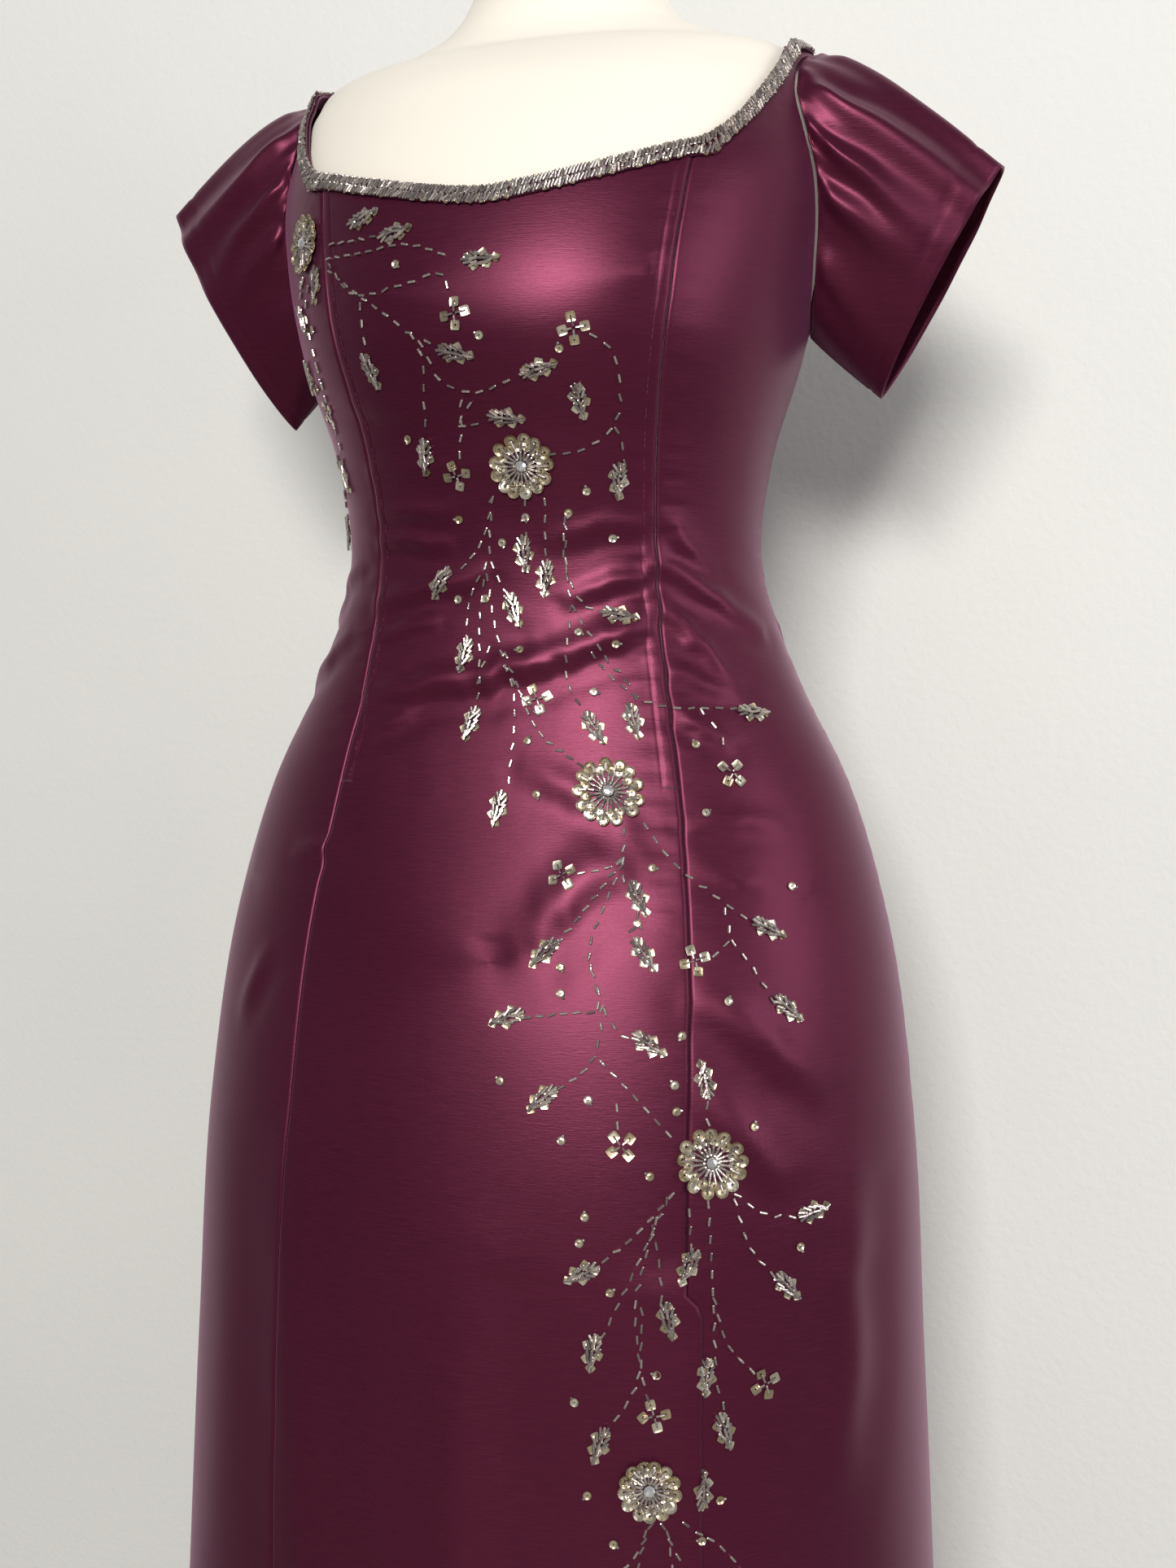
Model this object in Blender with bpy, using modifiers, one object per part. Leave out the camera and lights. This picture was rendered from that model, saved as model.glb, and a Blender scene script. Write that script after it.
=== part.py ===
"""Floor-length corset dress with flared cap sleeves, on a dress form with a round stand.

Metres, +Z up. The dress faces -Y and the wearer's left is +X. The origin is the centre of the
stand's underside, on the pole's axis. Angles go round the body from the centre front (0) over
the wearer's left side (+90) to the centre back (180).
"""
import math

import bmesh
import bpy
import numpy as np

# Cloth
WALL = 0.0015              # doubled satin with its interlining
SEAM_GAP = 0.0005          # between two panels at a seam
SHOULDER_GAP = 0.0010      # between the front and back strap, over the shoulder's bend
HEM_HEIGHT = 0.030         # the skirt just clears the floor
ARMPIT_HEIGHT = 1.176
CORNER_HEIGHT = 1.262      # where the neckline turns up into the strap
NECK_DIP = 0.028           # the neckline falls this much from the corners to the centre front
NECK_CURVE = 1.5
BACK_CORNER_HEIGHT = 1.268
BACK_NECK_DIP = 0.022
BACK_NECK_CURVE = 2.0
NECK_EASE = 0.080          # how far below the armpit the neckline's dip starts to show
SIDE_SEAM_ANGLE = 97.0     # set a little to the back, as tailors do
SQUARENESS = 2.15          # 2 is an ellipse

# Level sections of the dress's outer side, and of the form inside it: height above the floor,
# half width, depth in front and behind its middle, where that middle lies along Y, how far the
# two princess seams are from the centre line, and how far inside the cloth the form lies.
SECTION_COLUMNS = ("height", "half_width", "front", "back", "middle",
                   "front_seam", "back_seam", "form_ease")
SECTIONS = np.array([
    (0.030, 0.262, 0.206, 0.222, 0.000, 0.128, 0.130, 0.0900),
    (0.200, 0.256, 0.200, 0.214, 0.000, 0.126, 0.128, 0.0800),
    (0.400, 0.247, 0.190, 0.200, 0.000, 0.124, 0.126, 0.0700),
    (0.550, 0.239, 0.183, 0.185, 0.000, 0.122, 0.122, 0.0600),
    (0.700, 0.230, 0.168, 0.168, 0.000, 0.120, 0.116, 0.0500),
    (0.820, 0.212, 0.143, 0.152, 0.000, 0.115, 0.106, 0.0350),
    (0.900, 0.188, 0.120, 0.135, 0.000, 0.105, 0.092, 0.0160),
    (0.970, 0.154, 0.106, 0.114, 0.000, 0.093, 0.076, 0.0050),
    (1.040, 0.132, 0.103, 0.100, 0.000, 0.086, 0.066, 0.0036),
    (1.100, 0.138, 0.118, 0.102, 0.000, 0.089, 0.072, 0.0036),
    (1.160, 0.156, 0.1425, 0.106, 0.000, 0.099, 0.088, 0.0036),
    (1.220, 0.169, 0.1400, 0.108, 0.001, 0.109, 0.104, 0.0036),
    (1.262, 0.173, 0.1300, 0.105, 0.003, 0.118, 0.112, 0.0036),
    (1.290, 0.171, 0.1220, 0.099, 0.009, 0.130, 0.120, 0.0036),
    (1.320, 0.167, 0.1085, 0.091, 0.016, 0.140, 0.130, 0.0048),
    (1.343, 0.158, 0.084, 0.080, 0.021, 0.140, 0.130, 0.0080),
    (1.352, 0.140, 0.068, 0.072, 0.024, 0.130, 0.120, 0.0090),
    (1.360, 0.119, 0.064, 0.068, 0.027, 0.100, 0.100, 0.0090),
    (1.368, 0.099, 0.062, 0.066, 0.030, 0.090, 0.090, 0.0080),
    (1.379, 0.082, 0.061, 0.065, 0.033, 0.070, 0.070, 0.0060),
    (1.394, 0.069, 0.061, 0.064, 0.036, 0.060, 0.060, 0.0040),
    (1.414, 0.064, 0.062, 0.063, 0.038, 0.060, 0.060, 0.0036),
    (1.470, 0.062, 0.062, 0.062, 0.038, 0.060, 0.060, 0.0036),
])

# The armhole as (angle, height), from the armpit to the shoulder, in front and behind
ARMHOLE_FRONT = np.array([(97.0, 1.176), (89.5, 1.185), (84.0, 1.206), (81.0, 1.232),
                          (78.0, 1.258), (74.5, 1.284), (73.0, 1.308), (78.0, 1.330),
                          (90.0, 1.343)])
ARMHOLE_BACK = np.array([(97.0, 1.176), (104.5, 1.185), (110.0, 1.206), (113.0, 1.232),
                         (115.0, 1.258), (115.5, 1.284), (112.0, 1.308), (104.0, 1.330),
                         (90.0, 1.343)])
# The strap's inner edge, from the neckline's corner to the shoulder
STRAP_FRONT = np.array([(48.0, 1.262), (53.5, 1.271), (58.5, 1.285), (64.0, 1.304),
                        (70.0, 1.323), (77.0, 1.340), (90.0, 1.352)])
STRAP_BACK = np.array([(133.0, 1.268), (127.0, 1.282), (121.0, 1.300), (115.0, 1.319),
                       (107.0, 1.338), (90.0, 1.352)])

# The largest drag folds, each a soft ridge: its first angle and height, its last angle and
# height, its half width and its rise
FOLDS = np.array([
    (-42.0, 0.957, -4.0, 0.968, 0.014, 0.0035),
    (-4.0, 0.968, 21.0, 0.982, 0.014, 0.0032),
    (21.0, 0.982, 44.0, 1.000, 0.014, 0.0030),
    (48.0, 1.034, 74.0, 0.996, 0.012, 0.0034),
    (48.0, 1.008, 64.0, 0.966, 0.012, 0.0036),
    (48.0, 0.948, 60.0, 0.926, 0.012, 0.0026),
    (-46.0, 1.012, -8.0, 1.026, 0.011, 0.0024),
    (-45.0, 1.056, -17.0, 1.052, 0.011, 0.0022),
    (33.0, 0.872, 9.0, 0.822, 0.018, 0.0032),
    (45.0, 0.790, 61.0, 0.740, 0.018, 0.0032),
    (66.0, 0.682, 61.0, 0.524, 0.018, 0.0034),
    (-72.0, 1.014, -100.0, 0.984, 0.012, 0.0030),
    (172.0, 0.985, 138.0, 0.965, 0.014, 0.0030),
    (-172.0, 0.985, -138.0, 0.965, 0.014, 0.0030),
])
FOLD_ENDS = (0.15, 0.85)   # shares of a half sine wave that a fold's rise runs through

# The skirt's soft flutes, from nothing at the hips to their full depth at the hem
FLUTES = 9
FLUTE_DEPTH = 0.006
FLUTE_TOP = 0.740
FLUTE_PHASE = 0.6

# The slit in the wearer's left front seam: the front panel laps over the side panel
SLIT_TOP = 0.626
SLIT_LAP = 0.010
SLIT_LIFT = 0.0030
SLIT_STEP = 0.012
SLIT_LIFT_END = 0.030      # the lift ends this far above the slit
SLIT_REACH = 0.045         # how far from its edge the front panel is lifted
SLIT_TUCK = 0.0008         # how far the side panel is pushed in under the lap
SLIT_TUCK_ANGLE = 8.0

# Sleeve: a short flared tube, gathered into the upper armhole
SLEEVE_CLEAR = 0.00097      # its edge stands off the bodice
# Outer and lower corner of each cuff; the right one's are given as if it were on the left
CUFF_CORNERS = {"left": np.array([(0.2740, 0.008, 1.266), (0.2020, 0.030, 1.138)]),
                "right": np.array([(0.2700, 0.008, 1.280), (0.1960, 0.030, 1.135)])}
CUFF_DEPTH = 0.030         # half its size from front to back
CUFF_POINT = 0.35          # 0 is an ellipse, and more gives it sharper corners
SLEEVE_PUFF = (0.002, 0.008, 0.014)   # at the underarm, the front and back, and the top
SLEEVE_TURN = 0.24         # how far along its length it stops puffing up
GATHERS = 13
GATHER_DEPTH = 0.0022
GATHER_RANGE = (-0.5, 0.3)     # from no gathers to all of them, in shares of the armhole's height
GATHER_FADE = 0.6

# Beaded band along the front neckline
BAND_WIDTH = 0.009
BAND_THICK = 0.0020
BAND_GAP = 0.0006

# Slider and pull tab at the top of the zip that the centre back seam conceals
ZIP_TOP = 1.236
SLIDER = (0.0070, 0.0020, 0.0100)     # width, thickness, length
SLIDER_GAP = 0.0004
LUG = (0.0012, 0.0040, 0.0034)
LUG_ROOT = 0.0003          # how far a lug is sunk into the slider
PIN_RADIUS = 0.0006
PIN_OUT = 0.0025           # the pin's axis, from the slider's outer face
TAB_WIDTH = 0.0040
TAB_THICK = 0.0010
TAB_LENGTH = 0.0260
TAB_FLARE = 0.0008         # the rounded lower end is wider than the rest by this on each side
TAB_EYE = 0.0009
KNUCKLE_RADIUS = 0.0016

# Dress form and its stand
FORM_HEIGHTS = np.array([0.760, 0.790, 0.820, 0.860, 0.900, 0.935, 0.970, 1.005, 1.040, 1.070,
                         1.100, 1.130, 1.160, 1.190, 1.220, 1.241, 1.262, 1.276, 1.290, 1.305,
                         1.320, 1.334, 1.347, 1.357, 1.365, 1.374, 1.384, 1.396, 1.412, 1.440])
FORM_ROUND = 0.020         # radius of its lower edge
FORM_FLATTEN = 0.75        # that edge's height as a share of its width
LOW_TURNS = (50, 85)
NECK_TOP = 1.470
NECK_ROUND = 0.004
NECK_TURNS = (20, 60)
POLE_RADIUS = 0.0125
BASE_RADIUS = 0.160
BASE_THICK = 0.012
BASE_EDGE = 0.004
HUB_RADIUS = 0.026
HUB_HEIGHT = 0.024
HUB_EDGE = 0.006
SEAT_GAP = 0.0003          # between a stand piece and what it carries

# Grid sizes: rows up the skirt and bodice, rows up the straps, columns across each panel
SKIRT_HEIGHTS = np.array([HEM_HEIGHT, 0.100, 0.180, 0.270, 0.360, 0.440, 0.510, 0.575, 0.626, 0.638,
                          0.680, 0.725, 0.770, 0.810, 0.845, 0.875, 0.902, 0.926, 0.948, 0.968,
                          0.986, 1.004, 1.022, 1.040, 1.060, 1.085, 1.112, 1.144, 1.176])
NECK_ROWS = 4
BAND_COLUMNS = 25
STRAP_ROWS = 7
CENTRE_COLUMNS = 12
SIDE_COLUMNS = 7
SLEEVE_COLUMNS = 52
SLEEVE_ROWS = 9
FORM_COLUMNS = 40


def smooth(knots, values, at):
    """A cubic through (knots, values), whose slope at each knot is the mean of its neighbours'."""
    slope = np.gradient(values, knots, axis=0)
    at = np.asarray(at, float)
    i = np.clip(np.searchsorted(knots, at, side="right") - 1, 0, len(knots) - 2)
    step = knots[i + 1] - knots[i]
    f = (at - knots[i]) / step
    if values.ndim > 1:
        f, step = f[..., None], step[..., None]
    return ((2 * f ** 3 - 3 * f ** 2 + 1) * values[i] + (f ** 3 - 2 * f ** 2 + f) * step * slope[i]
            + (3 * f ** 2 - 2 * f ** 3) * values[i + 1] + (f ** 3 - f ** 2) * step * slope[i + 1])


def section(name, height):
    """One column of the section table at any height."""
    return smooth(SECTIONS[:, 0], SECTIONS[:, SECTION_COLUMNS.index(name)], height)


def soft_step(value, low, high):
    """0 below low, 1 above high, and a smooth rise between them."""
    share = np.clip((value - low) / (high - low), 0, 1)
    return share * share * (3 - 2 * share)


def fold_rise(angle, height):
    """Height of the drag folds and flutes: each fold is a soft ridge round its own short line."""
    reach = section("half_width", height)
    rise = np.zeros(np.broadcast(angle, height).shape)
    start, end = FOLD_ENDS
    for from_angle, from_height, to_angle, to_height, half_width, top in FOLDS:
        ahead = np.radians(to_angle - from_angle) * reach
        up = to_height - from_height
        across = np.radians(angle - from_angle) * reach
        above = height - from_height
        length = ahead ** 2 + up ** 2
        share = (across * ahead + above * up) / length
        held = np.clip(share, 0, 1)
        off = (across - held * ahead) ** 2 + (above - held * up) ** 2
        rise += top * np.exp(-off / half_width ** 2) * np.sin(np.pi * (start + (end - start) * held))
    flutes = 0.5 + 0.5 * np.cos(np.radians(angle) * FLUTES + FLUTE_PHASE)
    fade = 1 - soft_step(height, HEM_HEIGHT, FLUTE_TOP)
    return rise + FLUTE_DEPTH * flutes * fade


def body_point(angle, height, ease=0.0, folds=True):
    """Outer side of the dress: a superellipse at each height, in polar form, with its folds."""
    angle, height = np.broadcast_arrays(np.asarray(angle, float), np.asarray(height, float))
    sine, cosine = np.sin(np.radians(angle)), np.cos(np.radians(angle))
    lift = fold_rise(angle, height) if folds else 0.0
    half_width = section("half_width", height) - ease
    depth = np.where(cosine > 0, section("front", height), section("back", height)) - ease
    reach = ((np.abs(sine) / half_width) ** SQUARENESS
             + (np.abs(cosine) / depth) ** SQUARENESS) ** (-1 / SQUARENESS) + lift
    return np.stack([reach * sine, section("middle", height) - reach * cosine, height], -1)


def outward(angle, height):
    """The unit normal of the dress, from two short steps along it."""
    step = 0.2
    around = body_point(angle + step, height) - body_point(angle - step, height)
    upward = body_point(angle, height + 0.001) - body_point(angle, height - 0.001)
    normal = np.cross(around, upward)
    return normal / np.linalg.norm(normal, axis=-1, keepdims=True)


def seam_angle(name, height):
    """Where a seam at a known distance from the centre line lies round the body."""
    across = section(name, height)
    half_width = section("half_width", height)
    depth = section("front" if name == "front_seam" else "back", height)
    along = depth * (1 - (across / half_width) ** SQUARENESS) ** (1 / SQUARENESS)
    turn = np.degrees(np.arctan2(across, along))
    return turn if name == "front_seam" else 180 - turn


def along_path(rows, count):
    """Points at even steps along a smooth line through (angle, height) rows."""
    reach = np.radians(rows[:, 0]) * section("half_width", rows[:, 1])
    steps = np.hypot(np.diff(reach), np.diff(rows[:, 1]))
    knots = np.concatenate([[0], np.cumsum(steps)])
    return smooth(knots, rows, np.linspace(0, knots[-1], count))


def front_neckline(angle):
    """Height of the front neckline, which falls in a soft curve from the corners to the centre."""
    share = np.clip(np.abs(angle) / STRAP_FRONT[0, 0], 0, 1)
    return CORNER_HEIGHT - NECK_DIP * (1 - share ** NECK_CURVE)


def collection(name):
    """A new collection in the scene."""
    new = bpy.data.collections.new(name)
    bpy.context.scene.collection.children.link(new)
    return new


def material(name, color, roughness, metallic=0.0):
    """A Principled material."""
    new = bpy.data.materials.new(name)
    new.use_nodes = True
    shader = new.node_tree.nodes["Principled BSDF"]
    shader.inputs["Base Color"].default_value = (*color, 1)
    shader.inputs["Roughness"].default_value = roughness
    shader.inputs["Metallic"].default_value = metallic
    return new


def add_object(name, mesh, finish, group):
    """Link a mesh as an object with its own finish."""
    item = bpy.data.objects.new(name, mesh)
    item.data.materials.append(finish)
    group.objects.link(item)
    return item


def grid_mesh(name, points, closed=False):
    """A mesh over a grid of points, rows upward and columns round; closed joins the last column."""
    rows, columns = points.shape[:2]
    index = np.arange(rows * columns).reshape(rows, columns)
    if closed:
        index = np.hstack([index, index[:, :1]])
    quads = np.stack([index[:-1, :-1], index[:-1, 1:], index[1:, 1:], index[1:, :-1]], -1)
    mesh = bpy.data.meshes.new(name)
    mesh.from_pydata(points.reshape(-1, 3).tolist(), [], quads.reshape(-1, 4).tolist())
    mesh.shade_smooth()
    return mesh


def cloth(name, points, finish, group, closed=False, thickness=WALL, side=-1.0):
    """A cloth piece: a grid of points on its outer side, with a wall added inside it."""
    piece = add_object(name, grid_mesh(name, points, closed), finish, group)
    wall = piece.modifiers.new("wall", "SOLIDIFY")
    wall.thickness = thickness
    wall.offset = side
    return piece


def between(left, right, columns):
    """Rows of angles and heights from a left edge to a right edge, at even shares."""
    share = np.linspace(0, 1, columns)[None, :, None]
    return left[:, None, :] * (1 - share) + right[:, None, :] * share


def pull_edge(edge, way):
    """An edge moved half a seam gap into its own panel."""
    reach = section("half_width", edge[:, 1])
    moved = edge.copy()
    moved[:, 0] += way * np.degrees(SEAM_GAP / 2 / reach)
    return moved


def straight_edge(angle, heights):
    """An edge at a fixed angle, or at the angles of a seam."""
    return np.stack([np.broadcast_to(angle, heights.shape), heights], -1)


def bodice_heights(top):
    """Row heights of a seam that runs from the hem to a height on the neckline."""
    above = np.linspace(ARMPIT_HEIGHT, top, NECK_ROWS + 1)[1:]
    return np.concatenate([SKIRT_HEIGHTS, above])


def princess_seam(name, strap):
    """Rows of a princess seam from the hem up to the neckline's corner, where the strap starts."""
    heights = bodice_heights(strap[0, 1])
    edge = straight_edge(seam_angle(name, heights), heights)
    share = np.linspace(0, 1, NECK_ROWS + 1)[1:]
    edge[len(SKIRT_HEIGHTS):, 0] += (strap[0, 0] - edge[-1, 0]) * share
    return edge


def dipped(grid, share, dip, curve, top):
    """A centre panel's grid, whose upper rows fall towards its middle as its neckline does."""
    above = soft_step(grid[..., 1], ARMPIT_HEIGHT - NECK_EASE, top)
    lower = grid.copy()
    lower[..., 1] -= above * dip * (1 - np.abs(share)[None, :] ** curve)
    return lower


def slit_share(height):
    """0 above the slit and 1 below it."""
    return 1 - soft_step(height, SLIT_TOP, SLIT_TOP + SLIT_STEP)


def lapped(points, grid):
    """Front panel points whose edge laps over the slit, lifted clear of the side panel."""
    angle, height = grid[..., 0], grid[..., 1]
    edge = seam_angle("front_seam", height)
    reach = section("half_width", height)
    inside = np.radians(edge - angle) * reach
    near = 1 - soft_step(inside, 0.0, SLIT_REACH)
    lift = SLIT_LIFT * near * (1 - soft_step(height, SLIT_TOP, SLIT_TOP + SLIT_LIFT_END))
    return points + outward(angle, height) * lift[..., None]


def centre_front(finish, group):
    """The centre front panel, between the two princess seams, from hem to neckline."""
    seam = princess_seam("front_seam", STRAP_FRONT)
    right_edge = pull_edge(seam, -1)
    left_edge = pull_edge(seam * np.array([-1.0, 1.0]), 1)
    reach = section("half_width", seam[:, 1])
    right_edge[:, 0] += np.degrees(SLIT_LAP / reach) * slit_share(seam[:, 1])
    grid = between(left_edge, right_edge, CENTRE_COLUMNS + 1)
    share = np.linspace(-1, 1, CENTRE_COLUMNS + 1)
    grid = dipped(grid, share, NECK_DIP, NECK_CURVE, CORNER_HEIGHT)
    points = lapped(body_point(grid[..., 0], grid[..., 1]), grid)
    return cloth("front_center", points, finish, group)


def side_grid(seam_name, strap, armhole, columns):
    """Angles and heights of a side panel: seam and strap edge on one side, side seam and armhole
    on the other."""
    strap_edge = along_path(strap, STRAP_ROWS + 1)
    inner = np.concatenate([princess_seam(seam_name, strap), strap_edge[1:]])
    side = straight_edge(SIDE_SEAM_ANGLE, SKIRT_HEIGHTS)
    arm_edge = along_path(armhole, NECK_ROWS + STRAP_ROWS + 1)
    outer = np.concatenate([side, arm_edge[1:]])
    way = 1 if seam_name == "front_seam" else -1
    inner = pull_edge(inner, way)
    outer = pull_edge(outer, -way)
    for edge in (inner, outer):
        edge[-1, 0] -= way * np.degrees(SHOULDER_GAP / 2 / section("half_width", edge[-1, 1]))
    return between(inner, outer, columns + 1)


def mirrored(points):
    """The same points on the other side of the body, with their columns the other way round."""
    return (points * np.array([-1.0, 1.0, 1.0]))[:, ::-1]


def side_panels(finish, group):
    """Four side panels: front and back on each side, each with its half of the shoulder strap."""
    front = side_grid("front_seam", STRAP_FRONT, ARMHOLE_FRONT, SIDE_COLUMNS)
    back = side_grid("back_seam", STRAP_BACK, ARMHOLE_BACK, SIDE_COLUMNS)
    from_seam = front[..., 0] - front[:, :1, 0]
    tuck = SLIT_TUCK * slit_share(front[..., 1]) * (1 - soft_step(from_seam, 0, SLIT_TUCK_ANGLE))
    under_lap = outward(front[..., 0], front[..., 1]) * tuck[..., None]
    front_left = body_point(front[..., 0], front[..., 1]) - under_lap
    front_right = body_point(-front[..., 0], front[..., 1])
    back_left = body_point(back[..., 0], back[..., 1])
    back_right = body_point(-back[..., 0], back[..., 1])
    cloth("side_front_left", front_left, finish, group)
    cloth("side_front_right", front_right[:, ::-1], finish, group)
    cloth("side_back_left", back_left[:, ::-1], finish, group)
    cloth("side_back_right", back_right, finish, group)


def centre_backs(finish, group):
    """Two centre back panels, which meet over the zip."""
    seam = pull_edge(princess_seam("back_seam", STRAP_BACK), 1)
    middle = pull_edge(straight_edge(180.0, seam[:, 1]), -1)
    grid = between(seam, middle, SIDE_COLUMNS + 1)
    share = np.linspace(1, 0, SIDE_COLUMNS + 1)
    grid = dipped(grid, share, BACK_NECK_DIP, BACK_NECK_CURVE, BACK_CORNER_HEIGHT)
    cloth("center_back_left", body_point(grid[..., 0], grid[..., 1]), finish, group)
    other = body_point(-grid[..., 0], grid[..., 1])[:, ::-1]
    cloth("center_back_right", other, finish, group)


def sleeve_points(columns, rows, corners):
    """A sleeve on the wearer's left: a curve from each armhole point to a point of the cuff.

    Columns go round from the underarm over the front to the top and down the back. Each column
    is a quadratic curve whose middle point is pushed out from the cuff's centre, which puffs it.
    """
    half = columns // 2
    front = along_path(ARMHOLE_FRONT, half + 1)
    back = along_path(ARMHOLE_BACK, half + 1)[::-1]
    loop = np.concatenate([front[:-1], back[:-1]])
    root = body_point(loop[:, 0], loop[:, 1]) + outward(loop[:, 0], loop[:, 1]) * SLEEVE_CLEAR
    turn = 2 * np.pi * np.arange(columns) / columns
    cuff_middle = corners.mean(0)
    long_half = corners[0] - cuff_middle
    up = long_half / np.linalg.norm(long_half)
    round_out = -np.cos(turn)[:, None] * up - np.sin(turn)[:, None] * np.array([0.0, 1.0, 0.0])
    across = np.sin(turn) * np.abs(np.sin(turn)) ** CUFF_POINT
    cuff = (cuff_middle - np.cos(turn)[:, None] * long_half
            - across[:, None] * np.array([0.0, CUFF_DEPTH, 0.0]))
    low, middle, top = SLEEVE_PUFF
    puff = np.where(np.cos(turn) > 0, middle + (low - middle) * np.cos(turn),
                    middle - (top - middle) * np.cos(turn))
    bend = root + (cuff - root) * SLEEVE_TURN + round_out * puff[:, None]
    share = np.linspace(0, 1, rows + 1)[:, None, None]
    points = (1 - share) ** 2 * root + 2 * share * (1 - share) * bend + share ** 2 * cuff
    gathered = soft_step(-np.cos(turn), *GATHER_RANGE)
    wave = np.sin(turn * GATHERS) * gathered * GATHER_DEPTH
    fade = np.sin(np.pi * share ** GATHER_FADE) * (1 - share)
    return points + fade * wave[None, :, None] * round_out[None]


def sleeves(finish, group):
    """Both sleeves, the wearer's right one turned into a mirror image."""
    left = sleeve_points(SLEEVE_COLUMNS, SLEEVE_ROWS, CUFF_CORNERS["left"])
    right = sleeve_points(SLEEVE_COLUMNS, SLEEVE_ROWS, CUFF_CORNERS["right"])
    cloth("sleeve_left", left[:, ::-1], finish, group, closed=True)
    cloth("sleeve_right", mirrored(right)[:, ::-1], finish, group, closed=True)


def band_edges():
    """Both edges of the neckline band as (angle, height) rows, from the right shoulder to the
    left: its upper edge is the neckline, and its lower edge is one band's width into the cloth."""
    corner = STRAP_FRONT[0, 0]
    strap = along_path(STRAP_FRONT, STRAP_ROWS + 1)
    arm = along_path(ARMHOLE_FRONT, NECK_ROWS + STRAP_ROWS + 1)[NECK_ROWS:]
    reach = section("half_width", strap[:, 1])
    toward = (arm - strap) / np.hypot(np.radians(arm[:, 0] - strap[:, 0]) * reach,
                                      arm[:, 1] - strap[:, 1])[:, None]
    strap_low = strap + toward * BAND_WIDTH
    strap_low[0] = (corner + np.degrees(BAND_WIDTH / reach[0]), CORNER_HEIGHT - BAND_WIDTH)
    for edge in (strap, strap_low):
        edge[-1, 0] -= np.degrees(SHOULDER_GAP / reach[-1])
    across = np.linspace(-corner, corner, BAND_COLUMNS)[1:-1]
    upper = np.stack([across, front_neckline(across)], -1)
    lower = upper - np.array([0.0, BAND_WIDTH])
    other_side = np.array([-1.0, 1.0])
    return (np.concatenate([strap[::-1] * other_side, upper, strap]),
            np.concatenate([strap_low[::-1] * other_side, lower, strap_low]))


def neck_band(finish, group):
    """The beaded band: a strip that follows the front neckline from shoulder to shoulder."""
    upper, lower = band_edges()
    grid = between(lower, upper, 3).transpose(1, 0, 2)
    angle, height = grid[..., 0], grid[..., 1]
    points = body_point(angle, height) + outward(angle, height) * BAND_GAP
    cloth("neck_band", points, finish, group, thickness=BAND_THICK, side=1.0)


def box(name, size, place, finish, group):
    """A box primitive with its size applied."""
    mesh = bpy.data.meshes.new(name)
    shape = bmesh.new()
    bmesh.ops.create_cube(shape, size=1.0)
    bmesh.ops.scale(shape, vec=size, verts=shape.verts)
    bmesh.ops.translate(shape, vec=place, verts=shape.verts)
    shape.to_mesh(mesh)
    shape.free()
    return add_object(name, mesh, finish, group)


def rod(name, radius, length, place, finish, group, axis="X", segments=16):
    """A closed cylinder along X or Z."""
    mesh = bpy.data.meshes.new(name)
    shape = bmesh.new()
    bmesh.ops.create_cone(shape, cap_ends=True, segments=segments, radius1=radius, radius2=radius,
                          depth=length)
    shape.to_mesh(mesh)
    shape.free()
    item = add_object(name, mesh, finish, group)
    item.rotation_euler = (0, math.pi / 2 if axis == "X" else 0, 0)
    item.location = place
    return item


def combine(item, tool, operation):
    """A boolean between two objects; the tool is kept out of the model."""
    step = item.modifiers.new(operation.lower(), "BOOLEAN")
    step.operation = operation
    step.object = tool
    tool.hide_render = True
    tool.display_type = "WIRE"


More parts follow.
